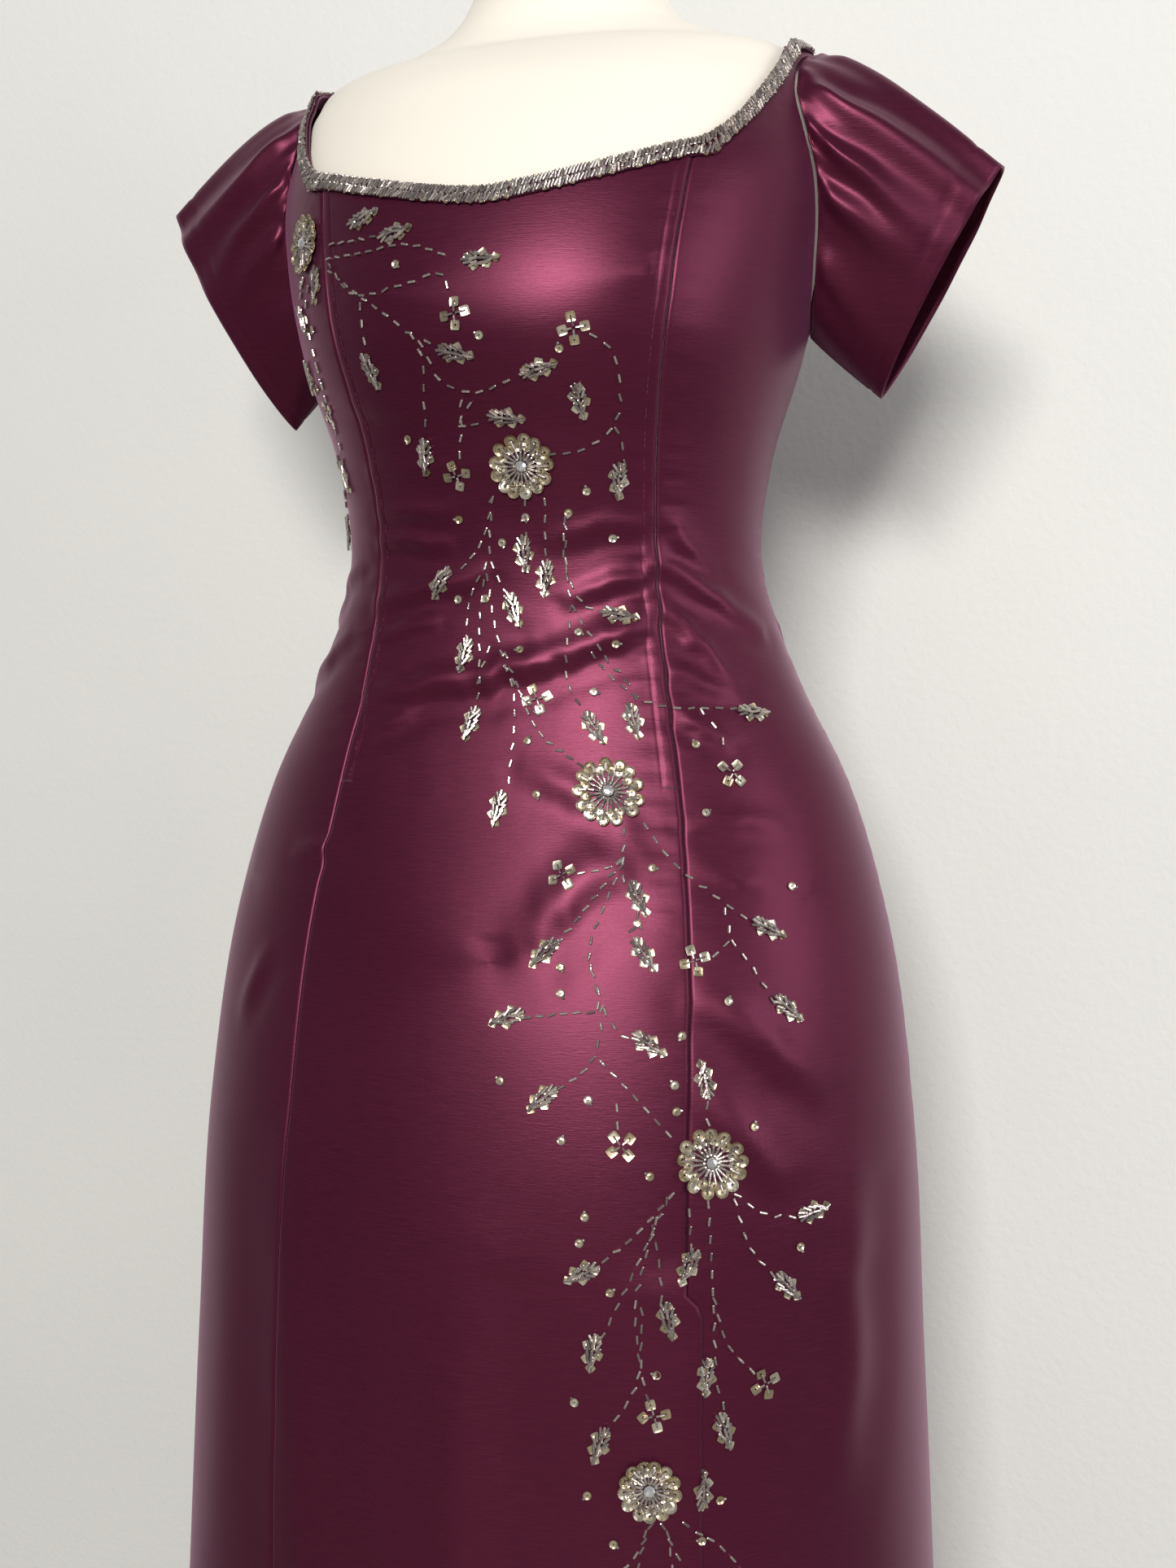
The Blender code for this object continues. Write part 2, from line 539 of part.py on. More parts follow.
def zip_pieces(metal, group, cutters):
    """The zip's slider, with two lugs and a pin, and the pull tab that hangs on the pin."""
    face = body_point(180.0, ZIP_TOP)[1] + SLIDER_GAP
    width, thick, length = SLIDER
    slider = box("zip_slider", SLIDER, (0, face + thick / 2, ZIP_TOP - length / 2), metal, group)
    pin_y = face + thick + PIN_OUT
    pin_z = ZIP_TOP - length / 2
    lug_x = width / 2 - LUG[0] / 2
    for side in (-1, 1):
        lug_y = face + thick + LUG[1] / 2 - LUG_ROOT
        lug = box(f"lug_{side}", LUG, (side * lug_x, lug_y, pin_z), metal, cutters)
        combine(slider, lug, "UNION")
    pin = rod("slider_pin", PIN_RADIUS, width - LUG[0], (0, pin_y, pin_z), metal, cutters)
    combine(slider, pin, "UNION")

    outline = [(-TAB_WIDTH / 2, 0.0), (TAB_WIDTH / 2, 0.0)]
    end_radius = TAB_WIDTH / 2 + TAB_FLARE
    end_low = -TAB_LENGTH + end_radius
    outline += [(end_radius * math.sin(a), end_low + end_radius * math.cos(a))
                for a in np.linspace(0.5 * math.pi, 1.5 * math.pi, 13)]
    curve = bpy.data.curves.new("zip_pull", "CURVE")
    curve.dimensions = "2D"
    curve.fill_mode = "BOTH"
    curve.extrude = TAB_THICK / 2
    line = curve.splines.new("POLY")
    line.points.add(len(outline) - 1)
    for point, (x, z) in zip(line.points, outline):
        point.co = (x, z, 0, 1)
    line.use_cyclic_u = True
    flat = bpy.data.objects.new("pull_outline", curve)
    cutters.objects.link(flat)
    depsgraph = bpy.context.evaluated_depsgraph_get()
    mesh = bpy.data.meshes.new_from_object(flat.evaluated_get(depsgraph))
    shape = bmesh.new()
    shape.from_mesh(mesh)
    bmesh.ops.remove_doubles(shape, verts=shape.verts, dist=1e-5)
    bmesh.ops.recalc_face_normals(shape, faces=shape.faces)
    shape.to_mesh(mesh)
    shape.free()
    bpy.data.objects.remove(flat)
    tab = add_object("zip_pull", mesh, metal, group)
    tab.rotation_euler = (math.pi / 2, 0, 0)
    tab.location = (0, pin_y, pin_z)
    knuckle = rod("tab_knuckle", KNUCKLE_RADIUS, TAB_WIDTH, (0, pin_y, pin_z), metal, cutters)
    combine(tab, knuckle, "UNION")
    eye = rod("tab_eye", TAB_EYE, TAB_WIDTH * 2, (0, pin_y, pin_z), metal, cutters)
    combine(tab, eye, "DIFFERENCE")


def form(finish, group):
    """The dress form: one smooth closed body from below the hips to the top of its neck."""
    angle = np.arange(FORM_COLUMNS) * 360.0 / FORM_COLUMNS

    def ring_at(height, ease):
        return body_point(angle, np.full(FORM_COLUMNS, height), ease, folds=False)

    rings = [ring_at(height, section("form_ease", height)) for height in FORM_HEIGHTS]
    low = FORM_HEIGHTS[0]
    for turn in np.radians(LOW_TURNS):
        ring = ring_at(low, section("form_ease", low) + FORM_ROUND * (1 - math.cos(turn)))
        ring[:, 2] = low - FORM_ROUND * FORM_FLATTEN * math.sin(turn)
        rings.insert(0, ring)
    for turn in np.radians(NECK_TURNS):
        ring = ring_at(NECK_TOP, section("form_ease", NECK_TOP) + NECK_ROUND * (1 - math.cos(turn)))
        ring[:, 2] = NECK_TOP - NECK_ROUND * (1 - math.sin(turn))
        rings.append(ring)
    points = np.array(rings)
    mesh = grid_mesh("dress_form", points, closed=True)
    shape = bmesh.new()
    shape.from_mesh(mesh)
    bmesh.ops.holes_fill(shape, edges=[e for e in shape.edges if e.is_boundary], sides=0)
    bmesh.ops.recalc_face_normals(shape, faces=shape.faces)
    shape.to_mesh(mesh)
    shape.free()
    add_object("dress_form", mesh, finish, group)
    return points[0, 0, 2]


def turned(name, profile, finish, group, steps=48):
    """A turned piece: a profile at +X, running down its outer side, and spun about Z."""
    mesh = bpy.data.meshes.new(name)
    mesh.from_pydata([(r, 0, z) for r, z in profile], [(i, i + 1) for i in range(len(profile) - 1)],
                     [])
    item = add_object(name, mesh, finish, group)
    spin = item.modifiers.new("spin", "SCREW")
    spin.steps = steps
    spin.render_steps = steps
    spin.use_merge_vertices = True
    spin.merge_threshold = 1e-5
    return item


def stand(pole_finish, base_finish, group, form_low):
    """Round base with a rounded rim, a hub on it, and the pole that carries the form."""
    rim = [(BASE_RADIUS - BASE_EDGE + BASE_EDGE * math.sin(a),
            BASE_THICK - BASE_EDGE + BASE_EDGE * math.cos(a))
           for a in np.linspace(0, math.pi / 2, 5)]
    turned("stand_base", [(0, BASE_THICK)] + rim + [(BASE_RADIUS, 0), (0, 0)], base_finish, group)
    hub_low = BASE_THICK + SEAT_GAP
    hub_top = hub_low + HUB_HEIGHT
    turned("stand_hub", [(0, hub_top), (HUB_RADIUS - HUB_EDGE, hub_top),
                         (HUB_RADIUS, hub_top - HUB_EDGE), (HUB_RADIUS, hub_low), (0, hub_low)],
           base_finish, group, steps=32)
    low, high = hub_top + SEAT_GAP, form_low - SEAT_GAP
    rod("stand_pole", POLE_RADIUS, high - low, (0, 0, (low + high) / 2), pole_finish, group,
        axis="Z", segments=32)


for old in list(bpy.data.objects):
    bpy.data.objects.remove(old)

dress = collection("corset_dress")
cutters = collection("cutters")
satin = (0.115, 0.012, 0.045)
cloth_pieces = (centre_front, side_panels, centre_backs, sleeves)
for make in cloth_pieces:
    make(material(make.__name__, satin, 0.38), dress)
neck_band(material("beaded_band", (0.42, 0.30, 0.33), 0.3, 0.4), dress)
zip_pieces(material("zip_metal", (0.6, 0.6, 0.6), 0.3, 1.0), dress, cutters)
form_foot = form(material("form_cover", (0.83, 0.80, 0.73), 0.6), dress)
stand(material("pole_steel", (0.6, 0.6, 0.6), 0.3, 1.0),
      material("base_paint", (0.8, 0.79, 0.76), 0.4), dress, form_foot)
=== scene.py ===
"""Wine satin corset dress with beaded flower sprays, on a dress form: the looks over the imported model."""
import math

import bmesh
import bpy
import numpy as np
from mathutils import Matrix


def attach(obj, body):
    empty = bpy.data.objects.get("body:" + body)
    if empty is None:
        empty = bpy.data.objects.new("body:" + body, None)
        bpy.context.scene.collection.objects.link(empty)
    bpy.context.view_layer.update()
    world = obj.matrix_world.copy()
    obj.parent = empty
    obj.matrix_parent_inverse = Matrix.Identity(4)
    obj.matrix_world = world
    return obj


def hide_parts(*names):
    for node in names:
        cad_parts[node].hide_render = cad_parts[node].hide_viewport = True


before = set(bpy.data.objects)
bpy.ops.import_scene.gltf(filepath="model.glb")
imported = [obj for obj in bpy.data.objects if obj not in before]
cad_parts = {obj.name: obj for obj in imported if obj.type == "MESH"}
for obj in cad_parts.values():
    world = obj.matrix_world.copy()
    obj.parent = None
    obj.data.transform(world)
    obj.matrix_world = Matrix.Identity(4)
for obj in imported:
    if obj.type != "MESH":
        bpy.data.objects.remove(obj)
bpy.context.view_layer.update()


# The centre front panel. A princess panel of heavy duchess satin that runs from the neckline to the
# hem. Its level sections below are those of the whole dress, whose seven panels are cut from one
# body shape, sewn edge to edge and drawn tight over the form.
SECTION_NAMES = ("height", "half_width", "front", "back", "middle", "front_seam", "back_seam", "ease")
SECTIONS = np.array([
    (0.030, 0.262, 0.206, 0.222, 0.000, 0.128, 0.130, 0.0900),
    (0.200, 0.256, 0.200, 0.214, 0.000, 0.126, 0.128, 0.0800),
    (0.400, 0.247, 0.190, 0.200, 0.000, 0.124, 0.126, 0.0700),
    (0.550, 0.239, 0.183, 0.185, 0.000, 0.122, 0.122, 0.0600),
    (0.700, 0.230, 0.168, 0.168, 0.000, 0.120, 0.116, 0.0500),
    (0.820, 0.212, 0.143, 0.152, 0.000, 0.115, 0.106, 0.0350),
    (0.900, 0.188, 0.120, 0.135, 0.000, 0.105, 0.092, 0.0160),
    (0.970, 0.154, 0.106, 0.114, 0.000, 0.093, 0.076, 0.0050),
    (1.040, 0.132, 0.103, 0.100, 0.000, 0.086, 0.066, 0.0036),
    (1.100, 0.138, 0.118, 0.102, 0.000, 0.089, 0.072, 0.0036),
    (1.160, 0.156, 0.1425, 0.106, 0.000, 0.099, 0.088, 0.0036),
    (1.220, 0.169, 0.1400, 0.108, 0.001, 0.109, 0.104, 0.0036),
    (1.262, 0.173, 0.1300, 0.105, 0.003, 0.118, 0.112, 0.0036),
    (1.290, 0.171, 0.1220, 0.099, 0.009, 0.130, 0.120, 0.0036),
    (1.320, 0.167, 0.1085, 0.091, 0.016, 0.140, 0.130, 0.0048),
    (1.343, 0.158, 0.084, 0.080, 0.021, 0.140, 0.130, 0.0080),
    (1.352, 0.140, 0.068, 0.072, 0.024, 0.130, 0.120, 0.0090),
    (1.360, 0.119, 0.064, 0.068, 0.027, 0.100, 0.100, 0.0090),
    (1.368, 0.099, 0.062, 0.066, 0.030, 0.090, 0.090, 0.0080),
    (1.379, 0.082, 0.061, 0.065, 0.033, 0.070, 0.070, 0.0060),
    (1.394, 0.069, 0.061, 0.064, 0.036, 0.060, 0.060, 0.0040),
    (1.414, 0.064, 0.062, 0.063, 0.038, 0.060, 0.060, 0.0036),
    (1.470, 0.062, 0.062, 0.062, 0.038, 0.060, 0.060, 0.0036),
])
SQUARENESS = 2.15
HEM, ARMPIT, CORNER = 0.030, 1.176, 1.262
NECK_DIP, NECK_CURVE, NECK_EASE = 0.028, 1.5, 0.080
STRAP_FRONT = np.array([(48.0, 1.262), (53.5, 1.271), (58.5, 1.285), (64.0, 1.304),
                        (70.0, 1.323), (77.0, 1.340), (90.0, 1.352)])
SLIT_TOP, SLIT_LAP, SLIT_LIFT, SLIT_REACH = 0.626, 0.010, 0.0030, 0.045
CLOTH_THICKNESS = 0.0011
SEAM_HALF_GAP = 0.00012

# Drag creases in the satin: first angle and height, last angle and height, half width, rise.
# A minus rise is a trough. Each crease is a ridge with a shallower trough under it.
CREASES = np.array([
    (-42.0, 0.957, -4.0, 0.968, 0.0085, 0.0042),
    (-4.0, 0.968, 21.0, 0.982, 0.0090, 0.0040),
    (21.0, 0.982, 44.0, 1.000, 0.0085, 0.0038),
    (-41.0, 0.939, -28.0, 0.944, 0.0055, 0.0024),
    (48.0, 1.034, 76.0, 0.994, 0.0065, 0.0034),
    (48.0, 1.009, 63.0, 0.967, 0.0060, 0.0032),
    (49.0, 0.969, 63.0, 0.957, 0.0050, 0.0022),
    (48.0, 0.949, 57.0, 0.929, 0.0050, 0.0024),
    (48.5, 1.056, 63.0, 1.030, 0.0050, 0.0018),
    (-43.5, 1.066, -15.0, 1.061, 0.0050, 0.0020),
    (-45.0, 1.048, -19.0, 1.045, 0.0048, 0.0022),
    (-46.5, 1.011, -8.0, 1.027, 0.0060, 0.0028),
    (-44.0, 0.992, -24.0, 1.000, 0.0045, 0.0018),
    (-43.5, 1.089, -3.0, 1.086, 0.0050, 0.0010),
    (-44.0, 1.128, -24.0, 1.120, 0.0060, 0.0008),
    (21.5, 1.012, 45.0, 1.029, 0.0055, 0.0022),
    (16.0, 1.046, 44.0, 1.058, 0.0060, 0.0014),
    (33.0, 0.874, 9.0, 0.822, 0.0140, 0.0034),
    (9.5, 0.916, 32.0, 0.891, 0.0090, 0.0016),
    (45.0, 0.791, 61.0, 0.740, 0.0110, 0.0034),
    (44.5, 0.733, 53.5, 0.690, 0.0090, 0.0028),
    (47.0, 0.886, 63.0, 0.886, 0.0060, 0.0018),
    (47.5, 0.860, 58.0, 0.850, 0.0055, 0.0014),
    (-52.0, 0.864, -40.5, 0.866, 0.0060, 0.0018),
    (-57.5, 0.762, -53.0, 0.800, 0.0080, 0.0022),
    (66.5, 0.684, 61.0, 0.524, 0.0150, 0.0036),
    (-36.0, 0.700, -30.0, 0.420, 0.0240, 0.0030),
    (2.0, 0.640, -3.0, 0.330, 0.0260, 0.0028),
    (-72.0, 1.014, -100.0, 0.984, 0.0070, 0.0032),
    (-60.0, 0.990, -84.0, 0.956, 0.0065, 0.0028),
    (-58.0, 1.034, -76.0, 1.022, 0.0055, 0.0020),
    (100.0, 1.000, 128.0, 0.972, 0.0080, 0.0030),
    (102.0, 1.030, 124.0, 1.012, 0.0070, 0.0022),
    (-104.0, 1.024, -128.0, 1.008, 0.0070, 0.0026),
    (-106.0, 0.992, -132.0, 0.966, 0.0080, 0.0030),
    (176.0, 0.985, 136.0, 0.965, 0.0085, 0.0034),
    (174.0, 1.012, 146.0, 1.002, 0.0070, 0.0028),
    (177.0, 1.040, 152.0, 1.034, 0.0065, 0.0022),
    (-176.0, 0.980, -138.0, 0.962, 0.0085, 0.0034),
    (-175.0, 1.008, -142.0, 0.996, 0.0070, 0.0028),
    (-177.0, 1.044, -150.0, 1.036, 0.0060, 0.0022),
    (168.0, 0.780, 150.0, 0.560, 0.0220, 0.0030),
    (-164.0, 0.740, -150.0, 0.500, 0.0240, 0.0032),
    (-100.0, 0.760, -96.0, 0.520, 0.0220, 0.0030),
    (110.0, 0.720, 116.0, 0.440, 0.0240, 0.0030),
])
FLUTES, FLUTE_DEPTH, FLUTE_TOP, FLUTE_PHASE = 9, 0.006, 0.740, 0.6


def smooth(knots, values, at):
    """A cubic through (knots, values), whose slope at each knot is the mean of its neighbours'."""
    slope = np.gradient(values, knots, axis=0)
    at = np.asarray(at, float)
    i = np.clip(np.searchsorted(knots, at, side="right") - 1, 0, len(knots) - 2)
    step = knots[i + 1] - knots[i]
    f = (at - knots[i]) / step
    if values.ndim > 1:
        f, step = f[..., None], step[..., None]
    return ((2 * f ** 3 - 3 * f ** 2 + 1) * values[i] + (f ** 3 - 2 * f ** 2 + f) * step * slope[i]
            + (3 * f ** 2 - 2 * f ** 3) * values[i + 1] + (f ** 3 - f ** 2) * step * slope[i + 1])


def section(name, height):
    """One column of the section table at any height."""
    return smooth(SECTIONS[:, 0], SECTIONS[:, SECTION_NAMES.index(name)], height)


def soft_step(value, low, high):
    """0 below low, 1 above high, and a smooth rise between them."""
    share = np.clip((value - low) / (high - low), 0, 1)
    return share * share * (3 - 2 * share)


def uneven(value, seed):
    """A smooth irregular wave between -1 and 1: a sum of four sines whose lengths don't match."""
    value = np.asarray(value, float)
    waves = ((1.0, 0.40), (1.93, 0.28), (3.17, 0.20), (5.21, 0.12))
    return sum(size * np.sin(rate * value + seed * (1.7 + 2.3 * i)) for i, (rate, size) in enumerate(waves))


def crease_rise(angle, height):
    """How far the satin stands off the plain body shape.

    Each crease is exp(-(d/w)^2) round its own line, less a wider and shallower trough below it,
    and fades to both ends as half a sine wave. The skirt's flutes are a cosine round the body that
    fades out at the hips. Nothing sinks in by more than 1 mm, because the form lies there.
    """
    reach = section("half_width", height)
    rise = np.zeros(np.broadcast(angle, height).shape)
    for from_angle, from_height, to_angle, to_height, half_width, top in CREASES:
        ahead = np.radians(to_angle - from_angle) * reach
        up = to_height - from_height
        across = np.radians(angle - from_angle) * reach
        above = height - from_height
        length = np.hypot(ahead, up)
        held = np.clip((across * ahead + above * up) / length ** 2, 0, 1)
        wander = half_width * 0.35 * uneven(held * 5.0, from_height * 90)
        away_x, away_z = across - held * ahead, above - held * up
        apart = np.hypot(away_x, away_z)
        side = np.where(away_z >= 0, 1.0, -1.0) * apart + wander
        ridge = np.exp(-(side / half_width) ** 2)
        hollow = 0.42 * np.exp(-((side + 1.9 * half_width) / (1.1 * half_width)) ** 2)
        ends = np.sin(np.pi * (0.12 + 0.76 * held)) * np.exp(-(np.clip(apart - 3 * half_width, 0, None)
                                                               / half_width) ** 2)
        rise += top * (ridge - hollow) * ends
    flutes = 0.5 + 0.5 * np.cos(np.radians(angle) * FLUTES + FLUTE_PHASE)
    rise = rise + FLUTE_DEPTH * flutes * (1 - soft_step(height, HEM, FLUTE_TOP))
    around = np.radians(angle) * reach
    slack = uneven(around * 34 + height * 11, 1.3) * uneven(height * 52 + around * 9, 2.9)
    rise = rise + 0.0007 * slack * np.exp(-((height - 1.0) / 0.11) ** 2)
    return np.maximum(rise, -0.0010)


def body_point(angle, height, ease=0.0, creased=True):
    """Outer side of the dress: a superellipse at each height, in polar form, with its creases."""
    angle, height = np.broadcast_arrays(np.asarray(angle, float), np.asarray(height, float))
    sine, cosine = np.sin(np.radians(angle)), np.cos(np.radians(angle))
    lift = crease_rise(angle, height) if creased else 0.0
    half_width = section("half_width", height) - ease
    depth = np.where(cosine > 0, section("front", height), section("back", height)) - ease
    reach = ((np.abs(sine) / half_width) ** SQUARENESS
             + (np.abs(cosine) / depth) ** SQUARENESS) ** (-1 / SQUARENESS) + lift
    return np.stack([reach * sine, section("middle", height) - reach * cosine, height], -1)


def tangents(angle, height):
    """Unit vectors at points of the dress: round it, up it and outward, with metres per degree."""
    around = body_point(angle + 0.1, height) - body_point(angle - 0.1, height)
    upward = body_point(angle, height + 0.0005) - body_point(angle, height - 0.0005)
    per_degree = np.linalg.norm(around, axis=-1) / 0.2
    per_metre = np.linalg.norm(upward, axis=-1) / 0.001
    normal = np.cross(around, upward)
    normal /= np.linalg.norm(normal, axis=-1, keepdims=True)
    around = around / np.linalg.norm(around, axis=-1, keepdims=True)
    return around, np.cross(normal, around), normal, per_degree, per_metre


def seam_angle(name, height):
    """Where a seam at a known distance from the centre line lies round the body."""
    across = section(name, height)
    half_width = section("half_width", height)
    depth = section("front" if name == "front_seam" else "back", height)
    along = depth * (1 - (across / half_width) ** SQUARENESS) ** (1 / SQUARENESS)
    turn = np.degrees(np.arctan2(across, along))
    return turn if name == "front_seam" else 180 - turn


def along_path(rows, share):
    """Points at shares of the length of a smooth line through (angle, height) rows."""
    reach = np.radians(rows[:, 0]) * section("half_width", rows[:, 1])
    knots = np.concatenate([[0], np.cumsum(np.hypot(np.diff(reach), np.diff(rows[:, 1])))])
    return smooth(knots, rows, share * knots[-1])


def row_shares():
    """Row heights of the skirt and bodice up to the armpit, closer together where creases are."""
    skirt = np.linspace(HEM, 0.62, 50)
    hips = np.linspace(0.62, 0.80, 31)[1:]
    waist = np.linspace(0.80, 1.10, 108)[1:]
    bust = np.linspace(1.10, ARMPIT, 22)[1:]
    return np.concatenate([skirt, hips, waist, bust])


LOW_ROWS = row_shares()
NECK_SHARES = np.linspace(0, 1, 27)[1:]      # from the armpit to the neckline's corner
STRAP_SHARES = np.linspace(0, 1, 43)[1:]     # from that corner to the shoulder
CAD_NECK_ROWS, CAD_STRAP_ROWS = 4, 7         # the solids' rows there, whose spread these follow


def princess_seam(name, strap):
    """Rows of a princess seam from the hem up to the neckline's corner, where the strap starts."""
    top = strap[0, 1]
    heights = np.concatenate([LOW_ROWS, ARMPIT + (top - ARMPIT) * NECK_SHARES])
    angles = seam_angle(name, heights)
    angles[len(LOW_ROWS):] += (strap[0, 0] - angles[-1]) * NECK_SHARES
    return np.stack([angles, heights], -1)


def seam_offsets(strip):
    """Distances from a panel's edge at which its mesh has extra columns, for the rolled edge, and
    for the topstitched strip where it has one."""
    rolled = [0, 0.0005, 0.0011, 0.0018, 0.0028]
    return np.array(rolled + [0.0050, 0.0071, 0.0078, 0.0085, 0.0100] if strip else rolled)


def panel_grid(left, right, columns, strips=(False, False)):
    """Angles and heights of a panel between two edges, with each point's distance from both
    edges. The columns are a fixed distance from the edges there, and evenly spread between."""
    width = np.linalg.norm(body_point(*(left.T), creased=False) - body_point(*(right.T), creased=False),
                           axis=-1) * 1.02
    width = np.maximum(width, 0.002)[:, None]
    first, last = seam_offsets(strips[0]), seam_offsets(strips[1])
    squeeze = np.minimum(1, 0.30 * width / max(first[-1], last[-1]))
    first, last = first[None] * squeeze, (width - last[::-1][None] * squeeze)
    middle = np.linspace(0, 1, columns + 2)[None, 1:-1]
    middle = first[:, -1:] + (last[:, :1] - first[:, -1:]) * middle
    along = np.concatenate([first, middle, last], 1)
    share = (along / width)[..., None]
    grid = left[:, None, :] * (1 - share) + right[:, None, :] * share
    return grid, along, width - along


STRIP_END = 0.905       # the topstitched strips beside the front princess seams end in a bar here
STITCH_LINE = 0.0078    # from the seam to the strip's stitches


def edge_shape(distance, height, strip, seed):
    """Height of a panel near one seam: its edge rolls in as a quarter round, puckers spread from
    the stitches, and a topstitched strip stands up between the seam and its stitch line."""
    roll = -0.0011 * np.clip(1 - distance / 0.0022, 0, 1) ** 2
    tight = 0.35 + 0.65 * np.exp(-((height - 1.0) / 0.12) ** 2)
    pucker = 0.00055 * tight * uneven(height * 430, seed) * np.exp(-((distance - 0.010) / 0.010) ** 2)
    shape = roll + pucker * soft_step(distance, 0.0, 0.006)
    if strip:
        sewn = soft_step(height, STRIP_END - 0.001, STRIP_END + 0.001)
        padded = soft_step(distance, 0.0, 0.002) * (1 - soft_step(distance, 0.0071, 0.0100))
        stitched = np.exp(-((distance - STITCH_LINE) / 0.0007) ** 2)
        shape = shape + sewn * (0.00050 * padded - 0.00045 * stitched)
    return shape


def cloth_mesh(name, points, closed=False):
    """A mesh over a grid of points, rows upward and columns round."""
    rows, columns = points.shape[:2]
    index = np.arange(rows * columns).reshape(rows, columns)
    if closed:
        index = np.hstack([index, index[:, :1]])
    quads = np.stack([index[:-1, :-1], index[:-1, 1:], index[1:, 1:], index[1:, :-1]], -1)
    mesh = bpy.data.meshes.new(name)
    mesh.from_pydata(points.reshape(-1, 3), [], quads.reshape(-1, 4))
    mesh.shade_smooth()
    return mesh


def sew_piece(name, points, finish, closed=False, thickness=CLOTH_THICKNESS, side=-1.0):
    """A sewn piece: a grid of points on its outer side, with the cloth's thickness added inside."""
    piece = bpy.data.objects.new(name, cloth_mesh(name, points, closed))
    piece.data.materials.append(finish)
    bpy.context.scene.collection.objects.link(piece)
    if thickness:
        wall = piece.modifiers.new("thickness", "SOLIDIFY")
        wall.thickness = thickness
        wall.offset = side
    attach(piece, "dress")
    return piece


class Wire:
    """A shader socket that takes arithmetic: each operator adds one Math node."""

    def __init__(self, finish, socket):
        self.finish, self.socket = finish, socket

    def math(self, operation, first, second):
        return self.finish.add("ShaderNodeMath", {"operation": operation}, {0: first, 1: second})

    def __add__(self, other):
        return self.math("ADD", self, other)

    def __sub__(self, other):
        return self.math("SUBTRACT", self, other)

    def __rsub__(self, other):
        return self.math("SUBTRACT", other, self)

    def __mul__(self, other):
        return self.math("MULTIPLY", self, other)

    def __pow__(self, other):
        return self.math("POWER", self, other)

    __radd__, __rmul__ = __add__, __mul__


class Finish:
    """A material with one Principled surface, whose fixed values are given by socket name."""

    def __init__(self, name, fixed):
        self.material = bpy.data.materials.new(name)
        self.material.use_nodes = True
        self.tree = self.material.node_tree
        self.surface = self.tree.nodes["Principled BSDF"]
        self.join(self.surface, fixed)

    def add(self, kind, settings, inputs, output=0):
        """A node of a type: its settings first, then its inputs, as values or as wires."""
        node = self.tree.nodes.new(kind)
        for label, value in settings.items():
            setattr(node, label, value)
        self.join(node, inputs)
        return Wire(self, node.outputs[output])

    def join(self, node, inputs):
        for label, value in inputs.items():
            if isinstance(value, Wire):
                self.tree.links.new(value.socket, node.inputs[label])
            else:
                node.inputs[label].default_value = value

    def place(self, scale=(1.0, 1.0, 1.0), turn=(0.0, 0.0, 0.0)):
        """Object coordinates, turned and scaled."""
        where = self.add("ShaderNodeTexCoord", {}, {}, "Object")
        return self.add("ShaderNodeMapping", {}, {"Vector": where, "Scale": scale, "Rotation": turn})

    def noise(self, where, scale, detail=2.0, roughness=0.5):
        """Noise from 0 to 1 at a scale in waves per metre."""
        return self.add("ShaderNodeTexNoise", {}, {"Vector": where, "Scale": scale, "Detail": detail,
                                                   "Roughness": roughness}, "Fac")

    def mix(self, share, first, second):
        """Two colours, mixed by a share."""
        return self.add("ShaderNodeMix", {"data_type": "RGBA"}, {"Factor": share, 6: first, 7: second}, 2)

    def feed(self, inputs):
        self.join(self.surface, inputs)
        return self.material

    def bump(self, height, distance, strength=1.0):
        return self.add("ShaderNodeBump", {}, {"Height": height, "Distance": distance,
                                               "Strength": strength})


def satin(name, turn=(0.0, 0.0, 0.0), sheen=0.25):
    """Duchess satin: weft floats run across the piece as fine bright and dull threads, which a
    noise stretched along them gives, over slow changes of shade."""
    finish = Finish(name, {"Metallic": 0.62, "Anisotropic": 0.35, "Sheen Weight": sheen,
                           "Sheen Roughness": 0.45, "Sheen Tint": (0.62, 0.22, 0.46, 1.0),
                           "Specular IOR Level": 0.35})
    threads = finish.noise(finish.place((90.0, 90.0, 2600.0), turn), 1.0, 3.0, 0.62)
    yarns = finish.noise(finish.place((260.0, 260.0, 900.0), turn), 1.0, 1.0)
    cloudy = finish.noise(finish.place(), 7.0, 2.0)
    shade = finish.mix(threads * 0.85 + cloudy * 0.35 + -0.12, (0.052, 0.0040, 0.0185, 1.0),
                       (0.128, 0.0140, 0.0430, 1.0))
    return finish.feed({"Base Color": shade, "Roughness": 0.30 + threads * 0.12 + cloudy * 0.06,
                        "Normal": finish.bump(threads * 0.6 + yarns * 0.4, 0.00016, 0.55)})


panel_satin = satin("wine_satin")
seam = princess_seam("front_seam", STRAP_FRONT)
gap = np.degrees(SEAM_HALF_GAP / section("half_width", seam[:, 1]))
right_edge = seam - np.stack([gap, 0 * gap], -1)
left_edge = (seam - np.stack([gap, 0 * gap], -1)) * np.array([-1.0, 1.0])
in_slit = 1 - soft_step(seam[:, 1], SLIT_TOP - 0.002, SLIT_TOP + 0.004)
right_edge[:, 0] += np.degrees(SLIT_LAP / section("half_width", seam[:, 1])) * in_slit
grid, from_left, from_right = panel_grid(left_edge, right_edge, 62, (True, True))
share = grid[..., 0] / np.abs(grid[:, -1:, 0])
fall = soft_step(grid[..., 1], ARMPIT - NECK_EASE, CORNER)
grid[..., 1] -= fall * NECK_DIP * (1 - np.clip(np.abs(share), 0, 1) ** NECK_CURVE)
angle, height = grid[..., 0], grid[..., 1]
lift = edge_shape(from_left, height, True, 2.1) + edge_shape(from_right, height, True, 4.7)
